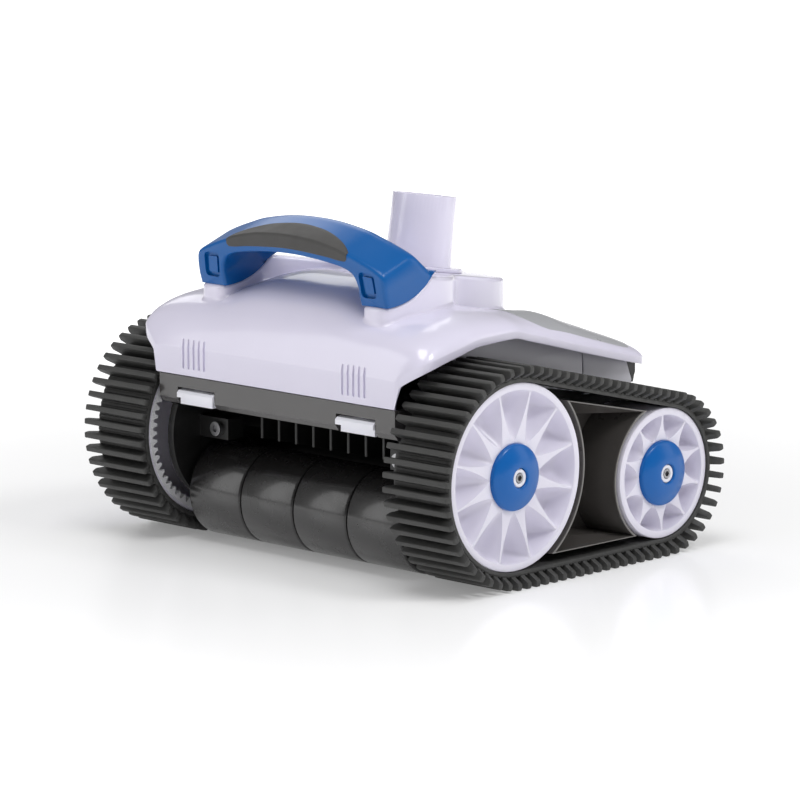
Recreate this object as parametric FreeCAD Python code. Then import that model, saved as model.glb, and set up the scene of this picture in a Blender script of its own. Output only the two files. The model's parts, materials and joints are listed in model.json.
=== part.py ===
import FreeCAD, Part
import math
import os

# Tracked suction pool cleaner.  Millimetres, +Z up, -Y is the front, +X is the right-hand track.
# The origin lies on the floor at the middle of the two tracks' footprint.

V = FreeCAD.Vector
os.makedirs("parts", exist_ok=True)

# ---- driving dimensions ------------------------------------------------------------------------
FRONT_R = 68.0            # front wheel rim
REAR_R = 48.6             # rear wheel rim
BELT_GAP = 0.3            # clearance of the belt round a turning wheel
CARCASS = 3.0             # belt carcass thickness
LUG_H = 9.3               # lug height above the carcass
BELT_T = BELT_GAP + CARCASS + LUG_H
WHEELBASE = 160.65
FRONT_Y = -70.6
FRONT_Z = FRONT_R + BELT_T
REAR_Y = FRONT_Y + WHEELBASE
REAR_Z = REAR_R + BELT_T
RIM_X = 179.5             # outer face of the wheel rims
WHEEL_IN = 130.3          # inner face of the wheels
LUG_COUNT = 75
LUG_IN = 124.5            # lug ends, inboard and outboard
LUG_OUT = 187.5
LUG_W = 4.7               # lug thickness along the belt
AXLE_R = 6.0
HUB_R = 24.2
FIT = 0.08                # radial running clearance of shafts in bores

MODULE_RING = 2.0
RING_TEETH = 60
PINION_TEETH = 15
MODULE_RED = 1.0
RED_TEETH = 48
ROTOR_TEETH = 13
DRIVE_ANGLE = math.radians(20)          # the drive shaft sits this far up from the front axle's level
DRIVE_DIST = MODULE_RING * (RING_TEETH - PINION_TEETH) / 2
DRIVE_Y = FRONT_Y + DRIVE_DIST * math.cos(DRIVE_ANGLE)
DRIVE_Z = FRONT_Z + DRIVE_DIST * math.sin(DRIVE_ANGLE)
RED_DIST = MODULE_RED * (RED_TEETH + ROTOR_TEETH) / 2
TURBINE_ANGLE = math.radians(-8)        # direction from the drive shaft to the turbine shaft
TURBINE_Y = DRIVE_Y + RED_DIST * math.cos(TURBINE_ANGLE)
TURBINE_Z = DRIVE_Z + RED_DIST * math.sin(TURBINE_ANGLE)

WALL_IN = 114.0           # chassis side wall, inner and outer face
WALL_OUT = 120.0
FLOOR_Z = 9.0             # underside of the chassis floor
SKIN = 3.0                # moulded shell thickness

TILT = math.radians(8.5)  # the hose swivel leans back by this angle
AXIS = V(0, math.sin(TILT), math.cos(TILT))
BOSS_TOP = V(0, 16.4, 203.0)
BOSS_R = 65.0
HOSE_R = 24.5             # hose spigot, mean outside radius
HOSE_LEN = 56.0

HINGE_Y = 124.0
HINGE_Z = 121.0
ROLLER_Y = -81.0
ROLLER_Z = 37.5
ROLLER_R = 35.5
ROLLER_END = 110.0
ROLLER_SLEEVES = 4

PRESSURE = math.radians(20)             # gear pressure angle
BACKLASH = 0.22
SHAFT_R = 4.0
PINION_X = 131.5          # inner face of the drive pinions
REDUCTION_X = 44.0        # inner face of the reduction gears
HOUSING_R = 41.0          # turbine housing, outside
HOUSING_X = 35.0
GEAR_ROOM = 27.0          # inside radii of the gearbox cover round its two gears
ROTOR_ROOM = 12.0
MOUTH = (-34.0, 4.0)      # y range of the throat over the suction mouth in the chassis floor
MOUTH_X = 68.0            # half-width of the mouth
DUCT_BORE = 19.0

LATCH_Y, LATCH_Z = -128.0, 117.0        # pivot of the release latches
LATCH_X = (63.4, 101.3)
LATCH_STUB = 1.6
COVER_FRONT, COVER_REAR = -136.0, 137.0
SKIRT_Z = 130.3           # lower edge of the cover's front skirt
VENT_PITCH = 5.5
VENT_X = 82.4             # middle of each group of vent slots
PIN_R = 2.5               # cover hinge pin
LEAN = 0.16               # the handle's front face leans forward by this slope
LEG_X, LEG_Y = 83.0, -100.0             # handle screws
RISE = V(0, 33, 12)       # the handle's top face sweeps back and up by this much
FALL = V(0, 19, -15.4)    # then down to the rear edge
SEAT_R = 29.6             # swivel seat in the boss
SEAT_LOW = -9.0           # floor of the swivel seat, measured along the axis from the boss top
DUCT_IN = 20.0            # bore of the spigot's foot
COLLAR_SCREW_R = 31.0
COLLAR_SCREW = 0.8
LAND = 16.0               # cylindrical land at the tip of the spigot, where the hose cuff seats
LAND_R = 24.1


# ---- helpers -----------------------------------------------------------------------------------
def save(name, *solids):
    shape = solids[0] if len(solids) == 1 else Part.makeCompound(list(solids))
    shape.exportStep("parts/" + name + ".step")


def box(x0, x1, y0, y1, z0, z1):
    return Part.makeBox(x1 - x0, y1 - y0, z1 - z0, V(x0, y0, z0))


def rod(r, x0, x1, y, z):
    return Part.makeCylinder(r, x1 - x0, V(x0, y, z), V(1, 0, 0))


def tube(outer, inner, x0, x1, y, z):
    return rod(outer, x0, x1, y, z).cut(rod(inner, x0 - 1, x1 + 1, y, z))


def join(first, *others):
    return first.multiFuse(list(others)).removeSplitter()


def mirrored(shape):
    return shape.mirror(V(0, 0, 0), V(1, 0, 0))


def polygon(points):
    return Part.makePolygon(points + [points[0]])


def slab_x(points, x0, x1):
    """A closed (y, z) outline carried along X from x0 to x1."""
    return Part.Face(polygon([V(x0, y, z) for y, z in points])).extrude(V(x1 - x0, 0, 0))


def slab_z(points, z0, z1):
    return Part.Face(polygon([V(x, y, z0) for x, y in points])).extrude(V(0, 0, z1 - z0))


def turned(profile, y, z, side=1):
    """Revolve an (x, r) outline about the X axis line at (y, z)."""
    face = Part.Face(polygon([V(side * x, y, z + r) for x, r in profile]))
    return face.revolve(V(0, y, z), V(1, 0, 0), 360)


def on_axis(along):
    """A point on the leaning swivel axis, this far above the boss top."""
    return BOSS_TOP + AXIS * along


def axis_tube(outer, inner, low, high):
    body = Part.makeCylinder(outer, high - low, on_axis(low), AXIS)
    return body.cut(Part.makeCylinder(inner, high - low + 2, on_axis(low - 1), AXIS))


def joined_arcs(x, first, second):
    """Closed wire at x of two arcs, each (y, z, radius, start, end), joined end to start by straight lines."""
    def at(arc, t):
        y, z, r, start, end = arc
        a = start + (end - start) * t
        return V(x, y + r * math.cos(a), z + r * math.sin(a))

    edges = []
    for arc, other in ((first, second), (second, first)):
        edges.append(Part.Arc(at(arc, 0), at(arc, 0.5), at(arc, 1)).toShape())
        edges.append(Part.LineSegment(at(arc, 1), at(other, 0)).toShape())
    return Part.Wire(edges)


def path(*points):
    """Straight edges from point to point, left open."""
    return [Part.LineSegment(a, b).toShape() for a, b in zip(points, points[1:])]


def spline(points):
    curve = Part.BSplineCurve()
    curve.interpolate(points)
    return curve.toShape()


def smooth(table, t):
    """Read a smooth curve through the (t, value) rows of a table."""
    if t <= table[0][0]:
        return table[0][1]
    if t >= table[-1][0]:
        return table[-1][1]
    k = max(i for i in range(len(table) - 1) if table[i][0] <= t)

    def slope(i):
        if i == 0 or i == len(table) - 1:
            j = min(i, len(table) - 2)
            return (table[j + 1][1] - table[j][1]) / (table[j + 1][0] - table[j][0])
        before = (table[i][1] - table[i - 1][1]) / (table[i][0] - table[i - 1][0])
        after = (table[i + 1][1] - table[i][1]) / (table[i + 1][0] - table[i][0])
        if before * after <= 0:
            return 0.0
        return 2 * before * after / (before + after)

    step = table[k + 1][0] - table[k][0]
    s = (t - table[k][0]) / step
    a, b = table[k][1], table[k + 1][1]
    ma, mb = slope(k) * step, slope(k + 1) * step
    return ((2 * s ** 3 - 3 * s ** 2 + 1) * a + (s ** 3 - 2 * s ** 2 + s) * ma
            + (3 * s ** 2 - 2 * s ** 3) * b + (s ** 3 - s ** 2) * mb)


# ---- gears -------------------------------------------------------------------------------------
def gear_outline(x, y, z, teeth, module, root, tip, widen, phase):
    """Involute tooth outline as a closed wire; widen is added to the tooth thickness."""
    pitch = module * teeth / 2
    base = pitch * math.cos(PRESSURE)

    def half_angle(r):
        roll = math.acos(base / r) if r > base else 0.0
        inv = math.tan(roll) - roll
        inv_pitch = math.tan(PRESSURE) - PRESSURE
        return (math.pi * module / 2 + widen) / (2 * pitch) + inv_pitch - inv

    steps = 4
    low = max(root, base)
    radii = [low + (tip - low) * i / steps for i in range(steps + 1)]
    if root < base:
        radii.insert(0, root)
    points = []
    for k in range(teeth):
        middle = phase + 2 * math.pi * k / teeth
        flank = [(r, middle - half_angle(r)) for r in radii]
        flank += [(r, middle + half_angle(r)) for r in reversed(radii)]
        points += [V(x, y + r * math.cos(a), z + r * math.sin(a)) for r, a in flank]
    return polygon(points)


def external_gear(teeth, module, x0, x1, y, z, phase, bore):
    pitch = module * teeth / 2
    outline = gear_outline(x0, y, z, teeth, module, pitch - 1.2 * module, pitch + 0.9 * module,
                           -BACKLASH, phase)
    return Part.Face(outline).extrude(V(x1 - x0, 0, 0)).cut(rod(bore, x0 - 1, x1 + 1, y, z))


# ---- tracks ------------------------------------------------------------------------------------
def belt_points(offset):
    """Centres, radii and the two tangent directions of a belt line this far outside the rims."""
    front, rear = FRONT_R + offset, REAR_R + offset
    dy, dz = REAR_Y - FRONT_Y, REAR_Z - FRONT_Z
    along = math.atan2(dz, dy)
    spread = math.acos((front - rear) / math.hypot(dy, dz))
    return front, rear, along + spread, along - spread


def belt_wire(offset, x):
    front, rear, top, low = belt_points(offset)
    return joined_arcs(x, (FRONT_Y, FRONT_Z, front, top, low + 2 * math.pi), (REAR_Y, REAR_Z, rear, low, top))


def belt_stations(offset, count):
    """Evenly spaced (y, z, outward angle) places round the belt line."""
    front, rear, top, low = belt_points(offset)
    run = math.sqrt((REAR_Y - FRONT_Y) ** 2 + (REAR_Z - FRONT_Z) ** 2 - (front - rear) ** 2)
    rear_arc = rear * (top - low)
    front_arc = front * (2 * math.pi - (top - low))
    total = 2 * run + rear_arc + front_arc
    places = []
    for k in range(count):
        s = total * k / count
        if s < run:
            a, t = top, s / run
            y = (FRONT_Y + front * math.cos(a)) * (1 - t) + (REAR_Y + rear * math.cos(a)) * t
            z = (FRONT_Z + front * math.sin(a)) * (1 - t) + (REAR_Z + rear * math.sin(a)) * t
        elif s < run + rear_arc:
            a = top - (s - run) / rear
            y, z = REAR_Y + rear * math.cos(a), REAR_Z + rear * math.sin(a)
        elif s < 2 * run + rear_arc:
            a, t = low, (s - run - rear_arc) / run
            y = (REAR_Y + rear * math.cos(a)) * (1 - t) + (FRONT_Y + front * math.cos(a)) * t
            z = (REAR_Z + rear * math.sin(a)) * (1 - t) + (FRONT_Z + front * math.sin(a)) * t
        else:
            a = low - (s - 2 * run - rear_arc) / front
            y, z = FRONT_Y + front * math.cos(a), FRONT_Z + front * math.sin(a)
        places.append((y, z, a))
    return places


def track_belt():
    x0, x1 = LUG_IN + 4.0, LUG_OUT - 6.5
    band = Part.Face([belt_wire(BELT_GAP + CARCASS, x0), belt_wire(BELT_GAP, x0)]).extrude(V(x1 - x0, 0, 0))
    profile = [(x0 + 0.5, -1.0), (x0 + 0.5, 0.5), (LUG_IN, 4.5), (LUG_IN, LUG_H - 1.5), (LUG_IN + 1.5, LUG_H),
               (LUG_OUT - 1.5, LUG_H), (LUG_OUT, LUG_H - 1.5), (LUG_OUT, 4.5), (x1 - 0.5, 0.5), (x1 - 0.5, -1.0)]
    lugs = []
    for y, z, a in belt_stations(BELT_GAP + CARCASS, LUG_COUNT):
        out = V(0, math.cos(a), math.sin(a))
        run = V(0, -math.sin(a), math.cos(a))
        start = V(0, y, z) - run * (LUG_W / 2)
        face = Part.Face(polygon([start + V(x, 0, 0) + out * r for x, r in profile]))
        lugs.append(face.extrude(run * LUG_W))
    return band.multiFuse(lugs)


def wheel(radius, y, z, spokes, first_angle, bore_rim):
    """Dished wheel: rim, web, hub and tapering radial ridges; it turns on its stub axle."""
    web_in, web_out = RIM_X - 17.0, RIM_X - 12.5
    rim = tube(radius, radius - 6.2, web_in, RIM_X, y, z)
    skirt = tube(radius, bore_rim, WHEEL_IN, web_in + 0.5, y, z)
    web = tube(radius - 5.0, AXLE_R + FIT, web_in, web_out, y, z)
    hub = turned([(WHEEL_IN + 12.0, AXLE_R + FIT), (WHEEL_IN + 12.0, 13.0), (web_in, 15.0), (web_in, HUB_R + 2.5),
                  (RIM_X - 3.0, HUB_R + 1.0), (RIM_X - 3.0, AXLE_R + FIT)], y, z)
    ridges = []
    for k in range(spokes):
        a = first_angle + 2 * math.pi * k / spokes
        out = V(0, math.cos(a), math.sin(a))
        side = V(0, -math.sin(a), math.cos(a))
        centre = V(0, y, z)
        near, far = HUB_R - 4.0, radius - 5.5
        wide = 2 * math.pi * HUB_R / spokes * 0.42
        low = polygon([centre + V(web_in + 1, 0, 0) + out * near - side * wide,
                       centre + V(web_in + 1, 0, 0) + out * far - side * 1.4,
                       centre + V(web_in + 1, 0, 0) + out * far + side * 1.4,
                       centre + V(web_in + 1, 0, 0) + out * near + side * wide])
        ridge = Part.Face(low).extrude(V(web_out - web_in + 6.5, 0, 0))
        ridges.append(ridge)
    return join(rim, skirt, web, hub, *ridges)


def hub_cap(y, z):
    edge = RIM_X - 1.0
    crown = [(edge + 1.5 + 4.2 * (1 - t ** 2), 7.2 + (HUB_R - 7.5) * t) for t in (0.0, 0.2, 0.4, 0.6, 0.8, 1.0)]
    back = RIM_X - 3.0
    return turned([(back, 7.2)] + crown + [(edge, HUB_R), (back, HUB_R)], y, z)


def stub_axle(y, z):
    body = join(rod(AXLE_R, WALL_IN - 3, RIM_X + 0.5, y, z), rod(8.5, WALL_IN - 3, WALL_IN, y, z))
    return body.cut(rod(2.4, RIM_X - 22, RIM_X + 1, y, z))


def axle_screw(y, z):
    washer = rod(6.8, RIM_X + 0.5, RIM_X + 4.0, y, z)
    head = rod(3.6, RIM_X + 4.0, RIM_X + 6.0, y, z)
    socket = rod(1.7, RIM_X + 4.4, RIM_X + 7.0, y, z)
    return join(washer, head, rod(2.4, RIM_X - 20, RIM_X + 1, y, z)).cut(socket)


def tracks():
    belt = track_belt()
    save("track_belt_right", belt)
    save("track_belt_left", mirrored(belt))
    ring_out = FRONT_R - 2.8
    places = {"front": (FRONT_R, FRONT_Y, FRONT_Z, 12, math.radians(15), ring_out),
              "rear": (REAR_R, REAR_Y, REAR_Z, 10, math.radians(18), REAR_R - 2.8)}
    for name, (radius, y, z, spokes, angle, bore) in places.items():
        body = wheel(radius, y, z, spokes, angle, bore)
        save(name + "_wheel_right", body)
        save(name + "_wheel_left", mirrored(body))
        cap = hub_cap(y, z)
        save(name + "_hub_cap_right", cap)
        save(name + "_hub_cap_left", mirrored(cap))
        axle = stub_axle(y, z)
        save(name + "_stub_axles", axle, mirrored(axle))
    screws = [axle_screw(y, z) for y, z in ((FRONT_Y, FRONT_Z), (REAR_Y, REAR_Z))]
    save("axle_screws", *(screws + [mirrored(s) for s in screws]))

    hole = gear_outline(WHEEL_IN, FRONT_Y, FRONT_Z, RING_TEETH, MODULE_RING, 58.6, 62.5, BACKLASH, DRIVE_ANGLE)
    rim = Part.Wire(Part.makeCircle(ring_out, V(WHEEL_IN, FRONT_Y, FRONT_Z), V(1, 0, 0)))
    ring = Part.Face([rim, hole]).extrude(V(12, 0, 0))
    save("ring_gear_right", ring)
    save("ring_gear_left", mirrored(ring))


# ---- drive train -------------------------------------------------------------------------------
def drive_train():
    shaft = join(rod(SHAFT_R, 39, PINION_X + 9, DRIVE_Y, DRIVE_Z),
                 external_gear(PINION_TEETH, MODULE_RING, PINION_X, PINION_X + 9, DRIVE_Y, DRIVE_Z,
                               DRIVE_ANGLE, SHAFT_R - 1))
    gear = external_gear(RED_TEETH, MODULE_RED, REDUCTION_X, REDUCTION_X + 8, DRIVE_Y, DRIVE_Z,
                         TURBINE_ANGLE, SHAFT_R)
    gear = join(gear, tube(8.0, SHAFT_R, REDUCTION_X + 8, REDUCTION_X + 14, DRIVE_Y, DRIVE_Z))
    save("pinion_shaft_right", shaft)
    save("pinion_shaft_left", mirrored(shaft))
    save("reduction_gear_right", gear)
    save("reduction_gear_left", mirrored(gear))

    half_tooth = math.pi / ROTOR_TEETH
    pinion = external_gear(ROTOR_TEETH, MODULE_RED, REDUCTION_X, REDUCTION_X + 8, TURBINE_Y, TURBINE_Z,
                           TURBINE_ANGLE + math.pi + half_tooth, 3.0)
    save("turbine_pinions", pinion, mirrored(pinion))
    save("turbine_shaft", rod(3.0, -56, 56, TURBINE_Y, TURBINE_Z))

    hub = tube(9.0, 3.0, -27, 27, TURBINE_Y, TURBINE_Z)
    vanes = []
    for k in range(6):
        a = 2 * math.pi * k / 6
        points = []
        for r, lead in ((8.0, 0.0), (16.0, 10.0), (25.0, 24.0), (35.0, 44.0)):
            points.append((r, a + math.radians(lead)))
        outer = [(TURBINE_Y + r * math.cos(t), TURBINE_Z + r * math.sin(t)) for r, t in points]
        inner = [(TURBINE_Y + r * math.cos(t - 2.4 / r), TURBINE_Z + r * math.sin(t - 2.4 / r))
                 for r, t in reversed(points)]
        vanes.append(slab_x(outer + inner, -27, 27))
    save("turbine_rotor", join(hub, *vanes))

    bearing = tube(7.0, 3.0 + FIT, 31, 35, TURBINE_Y, TURBINE_Z)
    save("turbine_bearings", bearing, mirrored(bearing))
    outer_b = tube(9.0, SHAFT_R + FIT, WALL_IN, WALL_OUT, DRIVE_Y, DRIVE_Z)
    inner_b = tube(7.0, SHAFT_R + FIT, 38.2, 42.2, DRIVE_Y, DRIVE_Z)
    save("drive_bearings", outer_b, inner_b, mirrored(outer_b), mirrored(inner_b))


# ---- turbine housing, throat and outlet ----------------------------------------------------------
def funnel(shrink, low, high):
    """Throat that narrows from the wide floor mouth to the turbine housing."""
    wires = []
    for z, half_x in ((low, MOUTH_X + SKIN), (high, HOUSING_X)):
        x = half_x - shrink
        y0, y1 = MOUTH[0] + shrink, MOUTH[1] - shrink
        wires.append(polygon([V(-x, y0, z), V(x, y0, z), V(x, y1, z), V(-x, y1, z)]))
    return Part.makeLoft(wires, True, True)


def housing():
    """Turbine housing in two halves, with the throat below and the outlet neck above."""
    waist = TURBINE_Z - 34
    drum = rod(HOUSING_R, -HOUSING_X, HOUSING_X, TURBINE_Y, TURBINE_Z)
    neck = slab_x([(MOUTH[0], waist), (MOUTH[1], waist), (MOUTH[1] + 6, TURBINE_Z - 15),
                   (MOUTH[0], TURBINE_Z - 15)], -HOUSING_X, HOUSING_X)
    neck_in = slab_x([(MOUTH[0] + SKIN, waist - 1), (MOUTH[1] - SKIN, waist - 1), (MOUTH[1] + 3, TURBINE_Z - 10),
                      (MOUTH[0] + SKIN, TURBINE_Z - 10)], -HOUSING_X + SKIN, HOUSING_X - SKIN)
    shell = join(drum, neck, funnel(0.0, FLOOR_Z + 3, waist))
    shell = shell.cut(rod(HOUSING_R - SKIN, -HOUSING_X + 4, HOUSING_X - 4, TURBINE_Y, TURBINE_Z))
    shell = shell.cut(neck_in).cut(funnel(SKIN, FLOOR_Z + 2.9, waist + 0.1))
    shell = shell.cut(rod(7.0, -HOUSING_X - 1, HOUSING_X + 1, TURBINE_Y, TURBINE_Z))
    shell = shell.cut(Part.makeCylinder(DUCT_BORE, 60, on_axis(-105), AXIS))
    upper_space = box(-60, 60, -80, 90, TURBINE_Z, 220)
    halves = {"lower": shell.cut(upper_space), "upper": shell.common(upper_space)}
    ears = {"lower": -3.0, "upper": 0.0}
    for name, half in halves.items():
        z0 = TURBINE_Z + ears[name]
        for s in (-1, 1):
            y0, y1 = sorted((TURBINE_Y + s * (HOUSING_R - 1), TURBINE_Y + s * (HOUSING_R + 7)))
            half = join(half, box(-20, 20, y0, y1, z0, z0 + 3))
        for x, y in housing_screw_places():
            half = half.cut(Part.makeCylinder(1.6, 20, V(x, y, TURBINE_Z - 12)))
        save("turbine_housing_" + name, half)
    screws = []
    for x, y in housing_screw_places():
        shank = Part.makeCylinder(1.6, 12, V(x, y, TURBINE_Z - 9))
        screws.append(shank.fuse(Part.makeCylinder(3.0, 2.2, V(x, y, TURBINE_Z + 3))))
    save("housing_screws", *screws)
    duct = join(axis_tube(DUCT_BORE + SKIN, DUCT_BORE, -66.5, -17.0),
                axis_tube(DUCT_BORE + 7, DUCT_BORE, -69.5, -66.5))
    save("outlet_duct", duct.cut(rod(HOUSING_R, -60, 60, TURBINE_Y, TURBINE_Z)))
    save("outlet_seal", axis_tube(DUCT_BORE + SKIN, DUCT_BORE, -17.0, -14.8))


def housing_screw_places():
    return [(x, TURBINE_Y + s * (HOUSING_R + 3.5)) for s in (-1, 1) for x in (-12, 12)]


def gearbox_cover():
    """A flat shell over one reduction stage, fixed to the turbine housing."""
    x0, x1 = HOUSING_X + 0.2, 62.0

    def room(grow, low, high):
        wide, narrow = GEAR_ROOM + grow, ROTOR_ROOM + grow
        spread = math.acos((wide - narrow) / RED_DIST)
        over, under = TURBINE_ANGLE + spread, TURBINE_ANGLE - spread
        wire = joined_arcs(low, (DRIVE_Y, DRIVE_Z, wide, over, under + 2 * math.pi),
                           (TURBINE_Y, TURBINE_Z, narrow, under, over))
        return Part.Face(wire).extrude(V(high - low, 0, 0))

    shell = room(2.0, x0, x1).cut(room(0.0, 42.4, x1 - 2))
    shell = shell.cut(rod(7.0, 38.2, 42.5, DRIVE_Y, DRIVE_Z))
    shell = shell.cut(rod(SHAFT_R + 0.6, 42, x1 + 1, DRIVE_Y, DRIVE_Z))
    return shell.cut(rod(3.6, x0 - 1, 58, TURBINE_Y, TURBINE_Z))


# ---- chassis -----------------------------------------------------------------------------------
def side_wall():
    """Side plate: a round cheek inside the front wheel, a waist, and a rear cheek."""
    cheek = rod(57.0, WALL_IN, WALL_OUT, FRONT_Y, FRONT_Z)
    rear = rod(40.0, WALL_IN, WALL_OUT, REAR_Y, REAR_Z)
    waist = slab_x([(-62, 21), (REAR_Y, FLOOR_Z), (REAR_Y + 28, FLOOR_Z), (REAR_Y + 28, 116), (60, 120),
                    (-30, 134), (-60, 134)], WALL_IN, WALL_OUT)
    toe = slab_x([(-110, 96), (-100, 62), (-70, 62), (-70, 132), (-127, 128), (-127, 108)], WALL_IN, WALL_OUT)
    plate = join(cheek, rear, waist, toe)
    bosses = [tube(12.0, AXLE_R, WALL_OUT - 0.5, WHEEL_IN + 9, y, z)
              for y, z in ((FRONT_Y, FRONT_Z), (REAR_Y, REAR_Z))]
    plate = join(plate, *bosses)
    for y, z, r in ((FRONT_Y, FRONT_Z, AXLE_R), (REAR_Y, REAR_Z, AXLE_R), (DRIVE_Y, DRIVE_Z, 9.0),
                    (ROLLER_Y, ROLLER_Z, 8.0)):
        plate = plate.cut(rod(r, WALL_IN - 1, WALL_OUT + 12, y, z))
    return plate


def chassis():
    wall = side_wall()
    floor = box(-WALL_IN - 1, WALL_IN + 1, -40, REAR_Y + 27, FLOOR_Z, FLOOR_Z + 3)
    mouth = box(-MOUTH_X, MOUTH_X, MOUTH[0] + 3, MOUTH[1] - 3, FLOOR_Z - 1, FLOOR_Z + 4)
    floor = floor.cut(mouth)
    rear = slab_x([(REAR_Y + 24, FLOOR_Z), (REAR_Y + 27, FLOOR_Z), (REAR_Y + 27, 112), (REAR_Y + 24, 112)],
                  -WALL_IN - 1, WALL_IN + 1)
    roller_wall = slab_x([(-41, FLOOR_Z), (-38, FLOOR_Z), (-38, 60), (-58, 82), (-61, 82), (-41, 59)],
                         -WALL_IN - 1, WALL_IN + 1)
    shelf = slab_x([(-61, 82), (-58, 82), (-58, 104), (-118, 112), (-118, 109), (-61, 101)],
                   -WALL_IN - 1, WALL_IN + 1)
    pocket = rod(30.5, -64, 64, DRIVE_Y, DRIVE_Z)
    tub = join(wall, mirrored(wall), floor, rear, roller_wall.cut(pocket), shelf.cut(pocket))
    corner = [box(x0, x1, -100, -84, 78, 94) for x0, x1 in ((-WALL_IN - 1, -84), (84, WALL_IN + 1))]
    tub = join(tub, *corner)
    knuckles = []
    for x in (-70, 70):
        arm = slab_x([(REAR_Y + 24, 96), (HINGE_Y - 4.5, 100), (HINGE_Y + 4.5, 112), (HINGE_Y + 4.5, HINGE_Z + 3),
                      (HINGE_Y - 4.5, HINGE_Z + 3), (REAR_Y + 24, 112)], x - 6, x + 6)
        knuckles.append(arm.fuse(rod(5.0, x - 6, x + 6, HINGE_Y, HINGE_Z)))
    tub = join(tub, *knuckles)
    tub = tub.cut(rod(2.5, -90, 90, HINGE_Y, HINGE_Z))
    for s in (-1, 1):
        tub = tub.cut(Part.makeCylinder(2.6, 19, V(s * 94, -102, 86), V(0, 1, 0)))
    return tub


def front_bumper():
    """Glossy band under the cover's front edge, with a return that runs back over the roller."""
    outline = [(-134, 129.6), (-134, 112), (-131, 108), (-121, 105.5), (-118.6, 108), (-121, 110), (-129, 112.5),
               (-130.5, 114.5), (-130.5, 129.6)]
    shape = slab_x(outline, -121.5, 121.5)
    for s in (-1, 1):
        x0, x1 = sorted((s * (WALL_IN - 0.3), s * (WALL_OUT + 0.2)))
        shape = shape.cut(box(x0, x1, -130.4, -100, 100, 129))
        x0, x1 = sorted((s * (WALL_OUT + 0.2), s * 121.5))
        shape = join(shape, box(x0, x1, -131, -108, 110, 128))
        x0, x1 = sorted((s * (LATCH_X[0] - 0.6), s * (LATCH_X[1] + 0.6)))
        shape = shape.cut(box(x0, x1, -136, -118, 104.0, 120.8))
        for x in (LATCH_X[0] - 4.6, LATCH_X[1] + 0.6):
            x0, x1 = sorted((s * x, s * (x + 4.0)))
            shape = join(shape, box(x0, x1, -131, LATCH_Y + 3, LATCH_Z - 4, LATCH_Z + 4))
    return shape.cut(rod(LATCH_STUB + FIT, -110, 110, LATCH_Y, LATCH_Z))


def comb():
    bar = slab_x([(-63.5, 90), (-61.2, 90), (-61.2, 100), (-63.5, 100)], -80, 80)
    teeth = []
    for k in range(8):
        x = -62.5 + 18.0 * k
        teeth.append(slab_x([(-62, 99), (-84, 99), (-76, 78), (-62.2, 76)], x - 1.1, x + 1.1))
    top = box(-80, 80, -84, -62, 96.5, 99)
    return join(bar, top, *teeth)


def rear_bumper():
    """Bar across the back between the tracks."""
    low, high = REAR_Y + 27.3, REAR_Y + 31
    bar = slab_x([(low, 90), (high, 92.5), (high, 103.5), (low, 106)], -112, 112)
    for s in (-1, 1):
        x0, x1 = sorted((s * 63, s * 77))
        bar = bar.cut(box(x0, x1, low - 1, high + 1, 94, 110))
    return bar


def rear_hooks():
    """Dark hook-shaped cheek under each rear corner of the cover."""
    outline = [(112, 170), (111, 127), (121, 124.5), (125, 117.5), (127.5, 117.5), (129, 123), (131, 127),
               (131, 170)]
    under_cover = cover_block(SKIN, 100.0)
    hooks = []
    for s in (-1, 1):
        x0, x1 = sorted((s * 106, s * 117))
        hooks.append(slab_x(outline, x0, x1).common(under_cover.fuse(box(-130, 130, 100, 140, 90, 110))))
    return hooks


def side_frame():
    """Hourglass frame between the wheels with a deep funnel-shaped pocket in its outer face."""
    face_x, floor_x = RIM_X - 1.5, 140.0

    def outline(x, front, rear, front_span, rear_span):
        """Arcs round both wheels, spanning these angles in degrees, with a straight top and bottom."""
        a0, a1, b0, b1 = [math.radians(a) for a in front_span + rear_span]
        return joined_arcs(x, (FRONT_Y, FRONT_Z, front, a0, a1), (REAR_Y, REAR_Z, rear, b0, b1))

    outer = outline(WALL_OUT + 0.3, 73.0, 51.2, (41.5, -57.5), (237.5, 109))
    frame = Part.Face(outer).extrude(V(face_x - WALL_OUT - 0.3, 0, 0))
    mouth = outline(face_x + 0.5, 75.4, 53.6, (38, -53.5), (232, 115.5))
    floor = outline(floor_x, 80.0, 58.0, (22, -38), (216, 132))
    hollow = outline(WALL_OUT, 84.0, 62.0, (20, -36), (214, 134))
    lightening = Part.Face(hollow).extrude(V(floor_x - 3 - WALL_OUT, 0, 0))
    return frame.cut(Part.makeLoft([mouth, floor], True, True)).cut(lightening)


def side_panels():
    """Light side skin above the track, in a long front piece and a short rear one."""
    def top(y):
        return smooth(LIP, y) - 4.0

    ys = [-52, -40, -28, -10, 20, 50, 63]
    front = [(y, top(y)) for y in ys] + [(64.6, 118), (20, 127), (-20, 136), (-52, 142)]
    ys = [64.2, 80, 95]
    rear = [(y, top(y)) for y in ys] + [(106, top(106) - 2), (113, 124), (117.5, 114), (66, 116)]
    return slab_x(front, WALL_OUT + 0.2, WALL_OUT + 2.4), slab_x(rear, WALL_OUT + 0.2, WALL_OUT + 2.4)


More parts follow.
